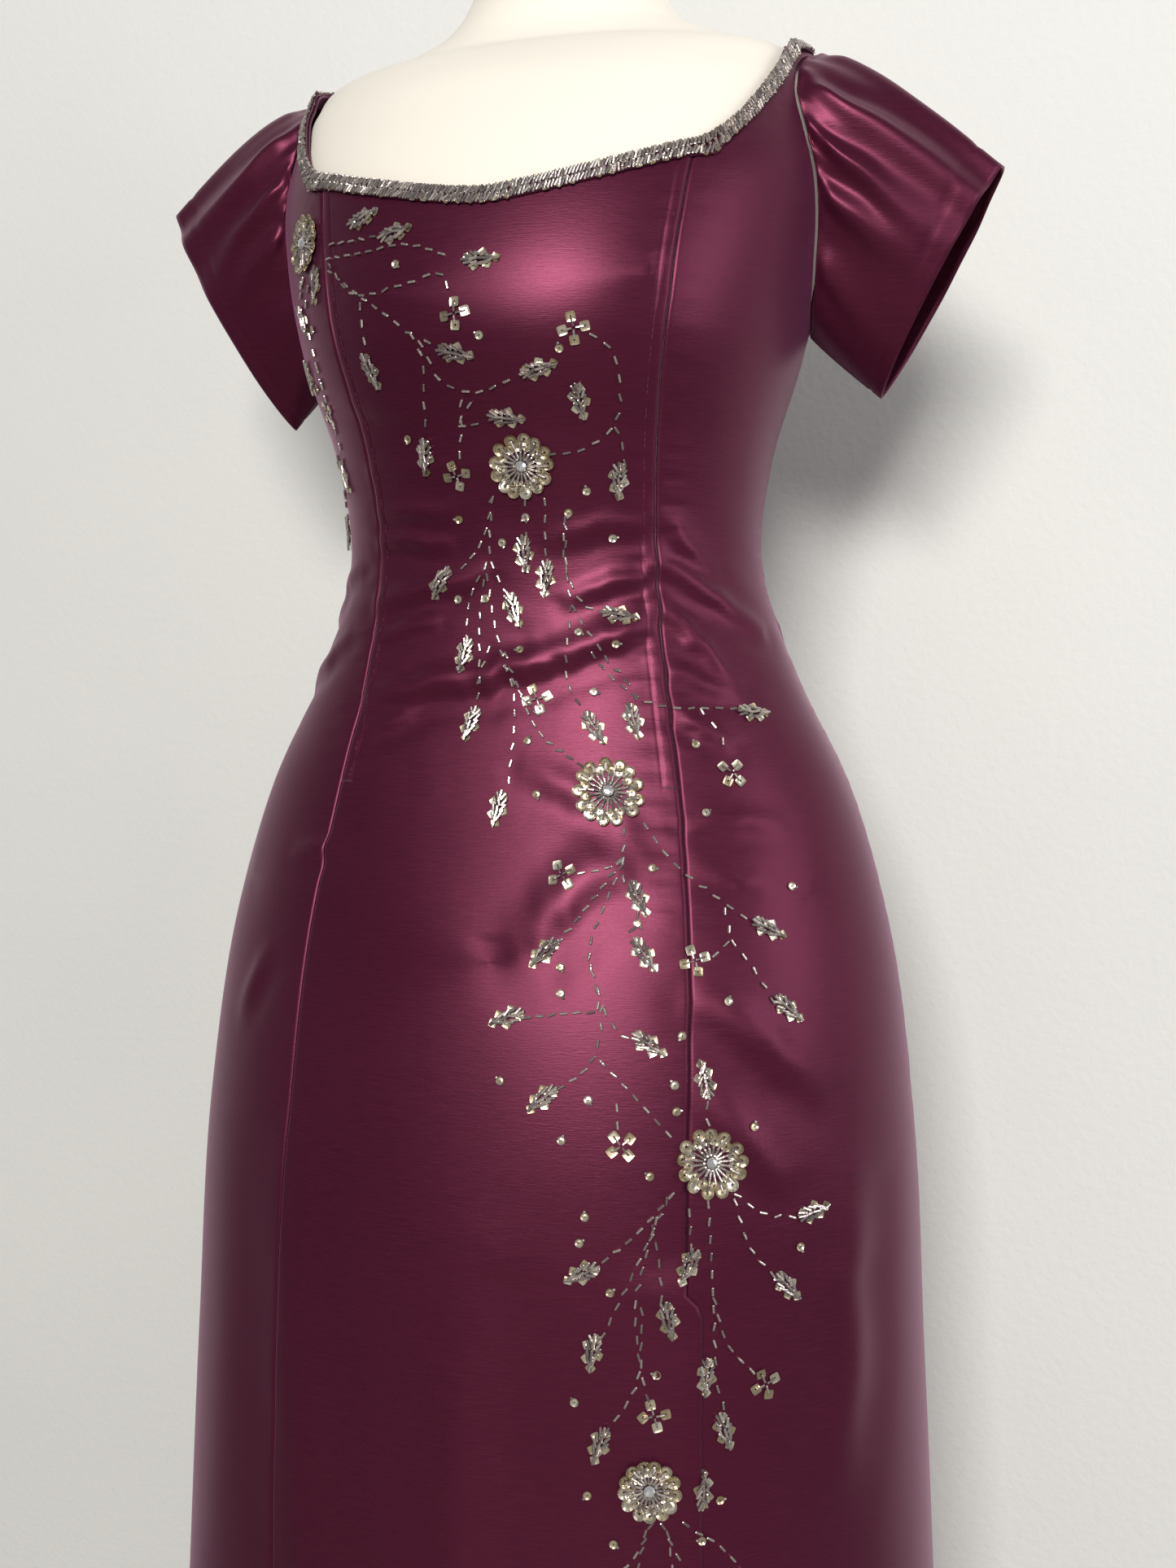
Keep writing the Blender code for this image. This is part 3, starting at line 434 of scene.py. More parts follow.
lift += (SLIT_LIFT * (1 - soft_step(from_right, 0.0, SLIT_REACH))
         * (1 - soft_step(height, SLIT_TOP, SLIT_TOP + 0.030)))
points = body_point(angle, height) + tangents(angle, height)[2] * lift[..., None]
centre_panel = sew_piece("satin_front_center", points, panel_satin)
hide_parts("front_center")


# The four side panels, front and back on each side. Each runs from the hem past the armhole and
# narrows into its half of the shoulder strap. The left front one is tucked under the slit's lap.
SIDE_SEAM_ANGLE = 97.0
SLIT_TUCK, SLIT_TUCK_ANGLE = 0.0008, 8.0
ARMHOLE_FRONT = np.array([(97.0, 1.176), (89.5, 1.185), (84.0, 1.206), (81.0, 1.232),
                          (78.0, 1.258), (74.5, 1.284), (73.0, 1.308), (78.0, 1.330),
                          (90.0, 1.343)])
ARMHOLE_BACK = np.array([(97.0, 1.176), (104.5, 1.185), (110.0, 1.206), (113.0, 1.232),
                         (115.0, 1.258), (115.5, 1.284), (112.0, 1.308), (104.0, 1.330),
                         (90.0, 1.343)])
STRAP_BACK = np.array([(133.0, 1.268), (127.0, 1.282), (121.0, 1.300), (115.0, 1.319),
                       (107.0, 1.338), (90.0, 1.352)])


def side_edges(seam_name, strap, armhole):
    """Both edges of a side panel on the wearer's left: the princess seam and the strap's inner
    edge, and the side seam and the armhole."""
    inner = np.concatenate([princess_seam(seam_name, strap), along_path(strap, STRAP_SHARES)])
    all_rows = CAD_NECK_ROWS + CAD_STRAP_ROWS
    arm_shares = np.concatenate([NECK_SHARES * CAD_NECK_ROWS, CAD_NECK_ROWS + STRAP_SHARES * CAD_STRAP_ROWS])
    side = np.stack([np.full(len(LOW_ROWS), SIDE_SEAM_ANGLE), LOW_ROWS], -1)
    outer = np.concatenate([side, along_path(armhole, arm_shares / all_rows)])
    way = 1 if seam_name == "front_seam" else -1
    inner, outer = inner.copy(), outer.copy()
    inner[:, 0] += way * np.degrees(SEAM_HALF_GAP / section("half_width", inner[:, 1]))
    outer[:, 0] -= way * np.degrees(SEAM_HALF_GAP / section("half_width", outer[:, 1]))
    return inner, outer


for place, seam_name, strap, armhole in (("front", "front_seam", STRAP_FRONT, ARMHOLE_FRONT),
                                         ("back", "back_seam", STRAP_BACK, ARMHOLE_BACK)):
    inner, outer = side_edges(seam_name, strap, armhole)
    grid, from_inner, from_outer = panel_grid(inner, outer, 46)
    for side, way in (("left", 1), ("right", -1)):
        angle, height = grid[..., 0] * way, grid[..., 1]
        lift = edge_shape(from_inner, height, False, 3.3 * way) + edge_shape(from_outer, height, False, 1.9)
        if place == "front" and side == "left":
            below = 1 - soft_step(height, SLIT_TOP - 0.002, SLIT_TOP + 0.004)
            near = 1 - soft_step(angle - angle[:, :1], 0, SLIT_TUCK_ANGLE)
            lift = np.where(below > 0.5, 0, lift) - SLIT_TUCK * below * near
        points = body_point(angle, height) + tangents(angle, height)[2] * lift[..., None]
        if (place == "front") != (side == "left"):
            points = points[:, ::-1]
        piece = sew_piece(f"satin_side_{place}_{side}", points, panel_satin)
        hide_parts(f"side_{place}_{side}")


# The two centre back panels, which meet at the centre back over a concealed zip. Their necklines
# fall in a soft curve to the top of the zip.
BACK_CORNER, BACK_NECK_DIP, BACK_NECK_CURVE = 1.268, 0.022, 2.0
seam = princess_seam("back_seam", STRAP_BACK)
inner = seam + np.stack([np.degrees(SEAM_HALF_GAP / section("half_width", seam[:, 1])), 0 * seam[:, 0]], -1)
middle = np.stack([180 - np.degrees(SEAM_HALF_GAP / section("half_width", seam[:, 1])), seam[:, 1]], -1)
grid, from_seam, from_middle = panel_grid(inner, middle, 40)
fall = soft_step(grid[..., 1], ARMPIT - NECK_EASE, BACK_CORNER)
share = (180 - grid[..., 0]) / (180 - grid[:, :1, 0])
grid[..., 1] -= fall * BACK_NECK_DIP * (1 - np.clip(share, 0, 1) ** BACK_NECK_CURVE)
for side, way in (("left", 1), ("right", -1)):
    angle, height = grid[..., 0] * way, grid[..., 1]
    lift = edge_shape(from_seam, height, False, 5.1 * way) + edge_shape(from_middle, height, False, 0.7)
    points = body_point(angle, height) + tangents(angle, height)[2] * lift[..., None]
    if side == "right":
        points = points[:, ::-1]
    piece = sew_piece(f"satin_center_back_{side}", points, panel_satin)
    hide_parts(f"center_back_{side}")


# The two cap sleeves: short flared tubes of the same satin, gathered into the upper part of the
# armhole. They hang open at the cuff, which is turned in once and stitched.
SLEEVE_CLEAR = 0.00097
CUFF_CORNERS = {"left": np.array([(0.2740, 0.008, 1.266), (0.2020, 0.030, 1.138)]),
                "right": np.array([(0.2700, 0.008, 1.280), (0.1960, 0.030, 1.135)])}
CUFF_DEPTH, CUFF_POINT = 0.030, 0.35
SLEEVE_PUFF = (0.002, 0.008, 0.014)
SLEEVE_TURN = 0.24
GATHERS, GATHER_DEPTH = 13, 0.0022
SLEEVE_COLUMNS, SLEEVE_ROWS = 260, 52
# Long folds that run down a sleeve: turn round it from the underarm, half width in turns, rise,
# how far each drifts round by the cuff, and how much of it is left there
SLEEVE_FOLDS = ((0.22, 0.020, 0.0034, 0.02, 0.25), (0.30, 0.018, 0.0040, -0.02, 0.45),
                (0.38, 0.020, 0.0044, -0.03, 0.70), (0.46, 0.018, 0.0034, -0.02, 0.60),
                (0.54, 0.020, 0.0040, 0.02, 0.60), (0.63, 0.020, 0.0038, 0.03, 0.55),
                (0.72, 0.024, 0.0032, 0.02, 0.35), (0.83, 0.030, 0.0026, 0.00, 0.25),
                (0.12, 0.030, 0.0020, 0.02, 0.20))


def sleeve_points(columns, rows, corners, seed):
    """A sleeve on the wearer's left: a quadratic curve from each armhole point to a cuff point.

    Columns go round from the underarm over the front to the top and down the back. The middle
    point of each curve is pushed out from the cuff's centre, which puffs it. Gathers are a fine
    uneven wave at the armhole, and long folds run on from some of them towards the cuff.
    """
    half = columns // 2
    loop = np.concatenate([along_path(ARMHOLE_FRONT, np.linspace(0, 1, half + 1))[:-1],
                           along_path(ARMHOLE_BACK, np.linspace(1, 0, half + 1))[:-1]])
    root = body_point(loop[:, 0], loop[:, 1]) + tangents(loop[:, 0], loop[:, 1])[2] * SLEEVE_CLEAR
    turn = 2 * np.pi * np.arange(columns) / columns
    cuff_middle = corners.mean(0)
    long_half = corners[0] - cuff_middle
    up = long_half / np.linalg.norm(long_half)
    round_out = -np.cos(turn)[:, None] * up - np.sin(turn)[:, None] * np.array([0.0, 1.0, 0.0])
    across = np.sin(turn) * np.abs(np.sin(turn)) ** CUFF_POINT
    cuff = (cuff_middle - np.cos(turn)[:, None] * long_half
            - across[:, None] * np.array([0.0, CUFF_DEPTH, 0.0]))
    low, middle, top = SLEEVE_PUFF
    puff = np.where(np.cos(turn) > 0, middle + (low - middle) * np.cos(turn),
                    middle - (top - middle) * np.cos(turn))
    bend = root + (cuff - root) * SLEEVE_TURN + round_out * puff[:, None]
    share = np.linspace(0, 1, rows + 1)[:, None, None]
    points = (1 - share) ** 2 * root + 2 * share * (1 - share) * bend + share ** 2 * cuff
    gathered = soft_step(-np.cos(turn), -0.5, 0.3)
    down = share[..., 0]
    fine = np.sin(turn * GATHERS * 2 + 1.6 * uneven(turn * 3, seed)) * np.exp(-down * 7)
    coarse = np.sin(turn * GATHERS + 1.2 * uneven(turn * 2, seed + 1)) * np.exp(-down * 3.2)
    wave = gathered * soft_step(down, 0.0, 0.05) * (0.0011 * fine + GATHER_DEPTH * 0.7 * coarse)
    for at, wide, rise, drift, left_over in SLEEVE_FOLDS:
        apart = turn / (2 * np.pi) - at - drift * down + 0.006 * uneven(down * 4, seed + at * 9)
        spread = wide * (0.55 + 0.75 * down)
        fades = soft_step(down, 0.02, 0.25) * (1 - (1 - left_over) * soft_step(down, 0.35, 1.0))
        wave = wave + rise * fades * (np.exp(-(apart / spread) ** 2)
                                      - 0.5 * np.exp(-((apart - 2 * spread) / spread) ** 2))
    sewn = 0.0006 * np.exp(-((down - 0.90) / 0.012) ** 2)
    return points + (wave - sewn)[..., None] * round_out[None]


sleeve_satin = satin("wine_satin_sleeve", (0.0, math.radians(35), 0.0))
for side, way in (("left", 1.0), ("right", -1.0)):
    points = sleeve_points(SLEEVE_COLUMNS, SLEEVE_ROWS, CUFF_CORNERS[side], 1.0 if way > 0 else 3.6)
    points = points * np.array([way, 1.0, 1.0])
    points = points[:, ::-1] if way > 0 else points
    piece = sew_piece(f"satin_sleeve_{side}", points, sleeve_satin, closed=True)
    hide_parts(f"sleeve_{side}")


# The beaded band along the front neckline, from shoulder to shoulder: a narrow strip of the satin
# that carries two slanting rows of silver-lined bugle beads, with gold sequins under them.
BAND_WIDTH, BAND_GAP, BAND_THICKNESS = 0.009, 0.0006, 0.0011
BAND_COLUMNS = 25


def dress_lift(angle, height):
    """How far a point of the front stands off body_point: its seams, strips and the slit's lap."""
    seam_at = seam_angle("front_seam", np.minimum(height, CORNER))
    per_degree = np.radians(section("half_width", height))
    lap = np.degrees(SLIT_LAP / section("half_width", height)) * (1 - soft_step(height, 0.624, 0.630))
    to_left, to_right = (seam_at + lap - angle) * per_degree, (seam_at + angle) * per_degree
    on_centre = (to_left > 0) & (to_right > 0)
    apart = np.minimum(np.abs(to_left), np.abs(to_right))
    lift = np.where(on_centre, edge_shape(apart, height, True, 0.0), edge_shape(apart, height, False, 0.0))
    lap_lift = SLIT_LIFT * (1 - soft_step(to_left, 0.0, SLIT_REACH)) * (1 - soft_step(height, SLIT_TOP,
                                                                                     SLIT_TOP + 0.030))
    return np.where(height < CORNER, lift + np.where(on_centre, lap_lift, 0.0), 0.0)


def band_edges():
    """Both edges of the band as (angle, height) rows, from the right shoulder to the left."""
    corner = STRAP_FRONT[0, 0]
    strap = along_path(STRAP_FRONT, np.linspace(0, 1, CAD_STRAP_ROWS + 1))
    all_rows = CAD_NECK_ROWS + CAD_STRAP_ROWS
    arm = along_path(ARMHOLE_FRONT, np.linspace(0, 1, all_rows + 1))[CAD_NECK_ROWS:]
    reach = section("half_width", strap[:, 1])
    toward = (arm - strap) / np.hypot(np.radians(arm[:, 0] - strap[:, 0]) * reach,
                                      arm[:, 1] - strap[:, 1])[:, None]
    strap_low = strap + toward * BAND_WIDTH
    strap_low[0] = (corner + np.degrees(BAND_WIDTH / reach[0]), CORNER - BAND_WIDTH)
    for edge in (strap, strap_low):
        edge[-1, 0] -= np.degrees(0.0010 / reach[-1])
    across = np.linspace(-corner, corner, BAND_COLUMNS)[1:-1]
    upper = np.stack([across, CORNER - NECK_DIP * (1 - (np.abs(across) / corner) ** NECK_CURVE)], -1)
    lower = upper - np.array([0.0, BAND_WIDTH])
    other_side = np.array([-1.0, 1.0])
    return (np.concatenate([strap[::-1] * other_side, upper, strap]),
            np.concatenate([strap_low[::-1] * other_side, lower, strap_low]))


def finer(rows, times):
    """The same line with more rows, which a straight share of each step adds."""
    old = np.arange(len(rows))
    new = np.linspace(0, len(rows) - 1, (len(rows) - 1) * times + 1)
    return np.stack([np.interp(new, old, rows[:, i]) for i in range(2)], -1)


upper, lower = (finer(edge, 8) for edge in band_edges())
share = np.linspace(0, 1, 6)[:, None, None]
grid = lower[None] * (1 - share) + upper[None] * share
angle, height = grid[..., 0], grid[..., 1]
points = body_point(angle, height) + tangents(angle, height)[2] * BAND_GAP
band = sew_piece("satin_neck_band", points, panel_satin, thickness=BAND_THICKNESS, side=1.0)
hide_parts("neck_band")


def ring_shape(profile, count, corners=0.0):
    """A closed ring: an outline of (radius, height) points carried round, as (vertices, faces).
    With corners, the round becomes a rounded square."""
    turn = 2 * np.pi * np.arange(count) / count
    power = 2 + corners
    square = (np.abs(np.cos(turn)) ** power + np.abs(np.sin(turn)) ** power) ** (-1 / power)
    radius, rise = np.array(profile).T
    vertices = np.stack([radius[:, None] * np.cos(turn) * square, radius[:, None] * np.sin(turn) * square,
                         np.broadcast_to(rise[:, None], (len(radius), count))], -1)
    index = np.arange(vertices.shape[0] * count).reshape(-1, count)
    after, beside = np.roll(index, -1, 0), np.roll(index, -1, 1)
    faces = np.stack([index, beside, np.roll(after, -1, 1), after], -1).reshape(-1, 4)
    return vertices.reshape(-1, 3), faces[:, ::-1]


def bead_shape(outline, count):
    """A closed bead: an outline of (place along it, radius) points turned round its own length."""
    turn = 2 * np.pi * np.arange(count) / count
    along, radius = np.array(outline).T
    vertices = np.stack([np.broadcast_to(along[:, None], (len(along), count)),
                         radius[:, None] * np.cos(turn), radius[:, None] * np.sin(turn)], -1)
    index = np.arange(len(along) * count).reshape(-1, count)
    beside = np.roll(index, -1, 1)
    faces = np.stack([index[:-1], index[1:], beside[1:], beside[:-1]], -1).reshape(-1, 4)
    return vertices.reshape(-1, 3), faces[:, ::-1]


SHAPES = {
    "bugle": bead_shape([(-0.5, 0.02), (-0.5, 0.75), (-0.42, 1.0), (0.42, 1.0), (0.5, 0.75), (0.5, 0.02)], 7),
    "seed": bead_shape([(-1.0, 0.05), (-0.7, 0.75), (0.0, 1.0), (0.7, 0.75), (1.0, 0.05)], 7),
    "stone": bead_shape([(-0.7, 0.05), (-0.1, 1.0), (0.15, 1.0), (0.55, 0.62), (0.62, 0.02)], 8),
    "round": ring_shape([(0.18, 0.03), (0.62, -0.02), (1.0, 0.22), (1.0, 0.27), (0.62, 0.04), (0.18, 0.09)], 14),
    "square": ring_shape([(0.18, 0.00), (0.62, 0.02), (1.0, 0.10), (1.0, 0.15), (0.62, 0.08), (0.18, 0.06)], 16, 5.0),
    "stitch": bead_shape([(-0.5, 0.1), (-0.36, 0.85), (0.36, 0.85), (0.5, 0.1)], 5),
}
strung = {"bugle": [], "seed": [], "stone": [], "round": [], "square": [], "stitch": []}
chance = np.random.default_rng(7)


def string(shape, angle, height, heading, size, off=0.0, tilt=0.0):
    """Lay beads of one shape on the dress. Heading is the turn of each one's length from straight
    round the body, size its three sizes in metres, off its height over the satin, and tilt how far
    its length rises from the satin."""
    angle, height, heading, tilt, off = np.broadcast_arrays(
        *(np.atleast_1d(np.asarray(value, float)) for value in (angle, height, heading, tilt, off)))
    side, up, out, _, _ = tangents(angle, height)
    lean = np.radians(heading)[..., None]
    along, across = np.cos(lean) * side + np.sin(lean) * up, np.cos(lean) * up - np.sin(lean) * side
    rise = np.radians(tilt)[..., None]
    axes = np.stack([np.cos(rise) * along + np.sin(rise) * out, across,
                     np.cos(rise) * out - np.sin(rise) * along], -2)
    place = body_point(angle, height) + out * (dress_lift(angle, height) + off)[..., None]
    strung[shape].append((place, axes * np.asarray(size)[None, :, None]))


def moved(angle, height, right, up):
    """The angle and height a short way right and up from a point of the dress, in metres."""
    per_degree, per_metre = tangents(np.asarray(angle, float), np.asarray(height, float))[3:]
    return angle + right / per_degree, height + up / per_metre


def spaced(rows, step):
    """Points at even steps along a smooth line on the dress, with their headings in degrees."""
    rows = np.asarray(rows, float)
    reach = np.degrees(1.0) / np.interp(rows[:, 1], SECTIONS[:, 0], SECTIONS[:, 1])
    knots = np.concatenate([[0], np.cumsum(np.hypot(np.diff(rows[:, 0]) / reach[1:], np.diff(rows[:, 1])))])
    at = np.arange(step * 0.4, knots[-1], step)
    here, ahead = smooth(knots, rows, at), smooth(knots, rows, np.minimum(at + 1e-4, knots[-1]))
    behind = smooth(knots, rows, np.minimum(at + 1e-4, knots[-1]) - 2e-4)
    run = (ahead - behind)[:, 0] / np.interp(here[:, 1], SECTIONS[:, 0], 1 / np.maximum(SECTIONS[:, 1], 0.01)) \
        * np.radians(1.0)
    return here[:, 0], here[:, 1], np.degrees(np.arctan2((ahead - behind)[:, 1], run))


for row_share, lean, seed in ((0.76, 62.0, 1), (0.24, 58.0, 2)):
    line = lower * (1 - row_share) + upper * row_share
    at, level, heading = spaced(line, 0.0024)
    wobble = chance.normal(0, 9, len(at))
    string("bugle", at, level, heading + lean + wobble, (0.0050, 0.00082, 0.00082),
           BAND_GAP + BAND_THICKNESS + 0.0010, chance.normal(4, 6, len(at)))
at, level, heading = spaced(lower * 0.5 + upper * 0.5, 0.0046)
string("seed", at, level, heading, (0.0010, 0.0010, 0.0010), BAND_GAP + BAND_THICKNESS + 0.0009)
for row_share in (0.84, 0.14):
    at, level, heading = spaced(lower * (1 - row_share) + upper * row_share, 0.0086)
    keep = chance.random(len(at)) < 0.75
    string("square", at[keep], level[keep], heading[keep] + chance.uniform(0, 90, keep.sum()),
           (0.0019, 0.0019, 0.0019), BAND_GAP + BAND_THICKNESS + 0.0004)


# The beaded sprays that run from the wearer's right shoulder across the bodice and down the left
# of the skirt: sequin flowers round a crystal, leaves of bugle beads, stems, and single sequins.
# Flowers: angle, height, outer radius, and the turn of the first petal
FLOWERS = ((7.5, 1.086, 0.0190, 0), (30.0, 0.902, 0.0205, 12), (43.0, 0.702, 0.0200, 5), (31.5, 0.528, 0.0175, 20),
           (-51.0, 1.222, 0.0175, 9), (44.0, 0.352, 0.0190, 3), (33.0, 0.190, 0.0180, 15))
# Leaves: angle, height and the heading of the tip
LEAVES = ((-30.5, 1.226, 15), (-21, 1.214, 10), (0.5, 1.194, 0), (-30.5, 1.142, -80), (-6.5, 1.146, -15),
          (13, 1.136, 15), (23, 1.120, -75), (4, 1.112, -10), (-21.5, 1.094, -100), (34.5, 1.078, -85),
          (7, 1.038, -85), (14, 1.024, -95), (-21.5, 1.022, -125), (3.5, 1.006, -70), (35.5, 1.002, -12),
          (-12.5, .980, -100), (65.5, .946, -5), (37.5, .942, -80), (27.5, .938, -60), (-9, .940, -105),
          (1.5, .892, -100), (34.5, .844, -70), (57, .826, -30), (34.5, .814, -60), (14.5, .814, -135),
          (58, .782, -45), (7, .778, 200), (34, .766, -35), (43, .746, 95), (14.5, .736, -140),
          (58.5, .670, 10), (21.5, .644, 205), (38.5, .648, -120), (53.5, .632, -50), (35, .620, -80),
          (23, .602, -100), (40.5, .588, -95), (24, .552, -110), (43, .558, -75), (39.5, .526, 85),
          (-61, 1.150, -110), (-60, 1.090, -70), (-73, 1.058, -95), (-55, 1.180, -60), (-46, 1.196, -100),
          (25, .470, -120), (39, .466, -60), (50, .440, -40), (28, .420, -110), (56, .392, -20), (36, .330, -120),
          (55, .310, -50), (46, .286, -85), (28, .300, -130), (22, .240, -140), (42, .232, -60), (24, .150, -120),
          (40, .140, -70), (31, .110, -95))
# Little flowers of four square sequins: angle, height, turn
FOURS = ((-5.5, 1.166, 5), (21, 1.156, 10), (-12.5, 1.082, 8), (11.5, .954, 20), (57, .912, 45), (18.5, .856, 30),
         (43.5, .810, 15), (28.5, .712, 40), (49.5, .580, 20), (32.5, .568, 10), (20, .380, 25), (52, .250, 10),
         (36, .250, 35), (-57, 1.126, 20))
STEMS = (
    ((-42, 1.208), (-30, 1.206), (-17, 1.206), (-6, 1.196)),
    ((-41, 1.216), (-32, 1.214), (-26, 1.214)),
    ((-41, 1.206), (-32, 1.184), (-18, 1.184), (-8, 1.186), (-6, 1.172)),
    ((-41, 1.202), (-30, 1.182), (-20, 1.164), (-14, 1.15), (-12, 1.134), (-5, 1.126), (8, 1.132)),
    ((-30, 1.18), (-30, 1.166), (-30, 1.152)),
    ((-17, 1.16), (-15, 1.146), (-18, 1.12), (-20, 1.104)),
    ((-14, 1.154), (-8, 1.148)),
    ((-7, 1.124), (-9, 1.106), (-11, 1.09)),
    ((-4, 1.122), (-9, 1.11), (3, 1.112)),
    ((24, 1.154), (29, 1.146), (32, 1.13), (32, 1.108), (24, 1.094), (16, 1.092)),
    ((32, 1.108), (35, 1.094), (36, 1.082)),
    ((8, 1.07), (8, 1.056), (8, 1.046)),
    ((-2, 1.072), (-6, 1.048), (-16, 1.026)),
    ((-2, 1.072), (-4, 1.034), (2, 1.012)),
    ((-5, 1.034), (-12, 1.01), (-12, 0.986)),
    ((-6, 1.034), (-8, 0.996), (-6, 0.958)),
    ((-4, 0.986), (-7, 0.962), (-8, 0.948)),
    ((-6, 1.028), (-2, 0.992), (6, 0.958), (12, 0.944)),
    ((-2, 0.992), (4, 0.958), (4, 0.902)),
    ((14, 1.07), (14, 1.046), (14, 1.028)),
    ((20, 1.06), (20, 1.032), (26, 1.008), (33, 1.002)),
    ((20, 1.056), (22, 1.01), (30, 0.982), (38, 0.958), (39, 0.948)),
    ((22, 1.01), (21, 0.962), (26, 0.944)),
    ((27, 0.982), (34, 0.964), (40, 0.954), (62, 0.948)),
    ((53, 0.95), (56, 0.934), (57, 0.922)),
    ((1, 0.982), (12, 0.936), (24, 0.916)),
    ((33, 0.884), (32, 0.868), (21, 0.856)),
    ((32, 0.868), (32, 0.852), (34, 0.846)),
    ((32, 0.866), (26, 0.846), (17, 0.818)),
    ((32, 0.864), (28, 0.842), (24, 0.814), (26, 0.784), (24, 0.758), (16, 0.738)),
    ((24, 0.81), (25, 0.784), (20, 0.782), (10, 0.778)),
    ((26, 0.786), (29, 0.772), (32, 0.766)),
    ((25, 0.758), (30, 0.742), (37, 0.716)),
    ((28, 0.736), (28, 0.724), (28, 0.718)),
    ((37, 0.886), (42, 0.864), (49, 0.844), (55, 0.828)),
    ((32, 0.824), (34, 0.832), (34, 0.842)),
    ((50, 0.84), (50, 0.822), (46, 0.81)),
    ((50, 0.822), (54, 0.8), (56, 0.784)),
    ((43, 0.72), (43, 0.734), (44, 0.74)),
    ((46, 0.686), (50, 0.674), (56, 0.668)),
    ((46, 0.684), (48, 0.656), (52, 0.636)),
    ((42, 0.684), (42, 0.646), (42, 0.592)),
    ((37, 0.688), (30, 0.664), (24, 0.648)),
    ((36, 0.686), (30, 0.646), (24, 0.606)),
    ((33, 0.672), (34, 0.646), (34, 0.628)),
    ((34, 0.676), (30, 0.628), (30, 0.586), (25, 0.558)),
    ((39, 0.68), (39, 0.658), (39, 0.652)),
    ((42, 0.632), (44, 0.604), (48, 0.586)),
    ((31, 0.628), (31, 0.586), (32, 0.572)),
    ((42, 0.584), (43, 0.566), (42, 0.556)),
    ((32, 0.512), (30, 0.496), (26, 0.478)),
    ((33, 0.512), (35, 0.496), (38, 0.476)),
    ((36, 0.512), (43, 0.49), (49, 0.448)),
    ((31, 0.508), (29, 0.47), (29, 0.428)),
    ((34, 0.508), (36, 0.45), (42, 0.376)),
    ((46, 0.43), (52, 0.41), (55, 0.398)),
    ((38, 0.44), (30, 0.40), (22, 0.384)),
    ((42, 0.336), (40, 0.334), (37, 0.332)),
    ((47, 0.336), (51, 0.326), (54, 0.316)),
    ((45, 0.334), (46, 0.312), (46, 0.296)),
    ((42, 0.334), (36, 0.315), (30, 0.304)),
    ((43, 0.332), (38, 0.27), (34, 0.212)),
    ((40, 0.30), (30, 0.26), (24, 0.246)),
    ((46, 0.30), (50, 0.28), (52, 0.262)),
    ((39, 0.28), (41, 0.25), (42, 0.24)),
    ((30, 0.175), (27, 0.165), (25, 0.158)),
    ((36, 0.175), (39, 0.16), (40, 0.15)),
    ((33, 0.17), (32, 0.145), (31, 0.12)),
    ((-48, 1.22), (-52, 1.204), (-57, 1.186)),
    ((-47, 1.206), (-52, 1.186), (-52, 1.156), (-54, 1.134)),
    ((-52, 1.156), (-57, 1.112), (-60, 1.088)),
    ((-65, 1.084), (-72, 1.066), (-72, 1.058)),
)
SINGLES = np.array((
    (-20, 1.196), (0, 1.154), (18, 1.146), (-26, 1.104), (26, 1.072), (8, 1.058), (-14, 1.058), (0, 1.044),
    (34, 1.046), (21, 1.06), (34, 0.986), (28, 0.958), (9, 0.93), (12, 0.9), (50, 0.89), (51, 0.928), (63, 0.848),
    (38, 0.86), (34, 0.83), (18, 0.806), (18, 0.792), (6, 0.744), (23, 0.736), (40, 0.77), (38, 0.744), (38, 0.73),
    (18, 0.714), (33, 0.696), (22, 0.674), (21, 0.66), (50, 0.72), (56, 0.652), (48, 0.788), (26, 0.634),
    (33, 0.59), (20, 0.574), (22, 0.524), (42, 0.52), (26, 0.498), (39, 0.5), (-16, 1.012), (-6, 1.012),
    (24, 0.992), (6, 0.982), (-54, 1.20), (-50, 1.172), (-58, 1.142), (-64, 1.102), (-68, 1.08), (20, .44),
    (46, .47), (32, .40), (52, .36), (24, .33), (40, .30), (58, .27), (30, .225), (46, .20), (22, .19), (36, .12)))

for rows in STEMS:
    at, level, heading = spaced(rows, 0.0094)
    heading = heading + chance.normal(0, 9, len(at))
    string("bugle", at, level, heading, (0.0046, 0.00072, 0.00072), 0.0008)
for at, level, tip in LEAVES:
    lean = math.radians(tip)
    along = np.array([-6.8, -3.6, -0.4, 2.8, 5.6]) * 1e-3
    wide = np.array([1.6, 2.7, 2.8, 2.3, 1.3]) * 1e-3
    for way in (1, -1):
        right = np.cos(lean) * along - np.sin(lean) * wide * way
        up = np.sin(lean) * along + np.cos(lean) * wide * way
        where = moved(at, level, right, up)
        string("bugle", *where, tip - way * 24 + chance.normal(0, 8, 5), (0.0054, 0.00088, 0.00088),
               0.0013 + chance.uniform(0, 0.0004, 5), 5)
    spine = np.array([-8.0, -3.4, 1.4, 6.2, 8.6]) * 1e-3
    string("bugle", *moved(at, level, np.cos(lean) * spine, np.sin(lean) * spine), tip + chance.normal(0, 9, 5),
           (0.0052, 0.00085, 0.00085), 0.0022)
    under = np.array([[9.0, 0.4], [1.5, 3.4], [-3.2, -3.4], [4.2, -2.8], [-7.0, 1.2]]) * 1e-3
    where = moved(at, level, np.cos(lean) * under[:, 0] - np.sin(lean) * under[:, 1],
                  np.sin(lean) * under[:, 0] + np.cos(lean) * under[:, 1])
    string("square", *where, tip + 45 + chance.normal(0, 15, 5), (0.0023, 0.0023, 0.0023), 0.0004)
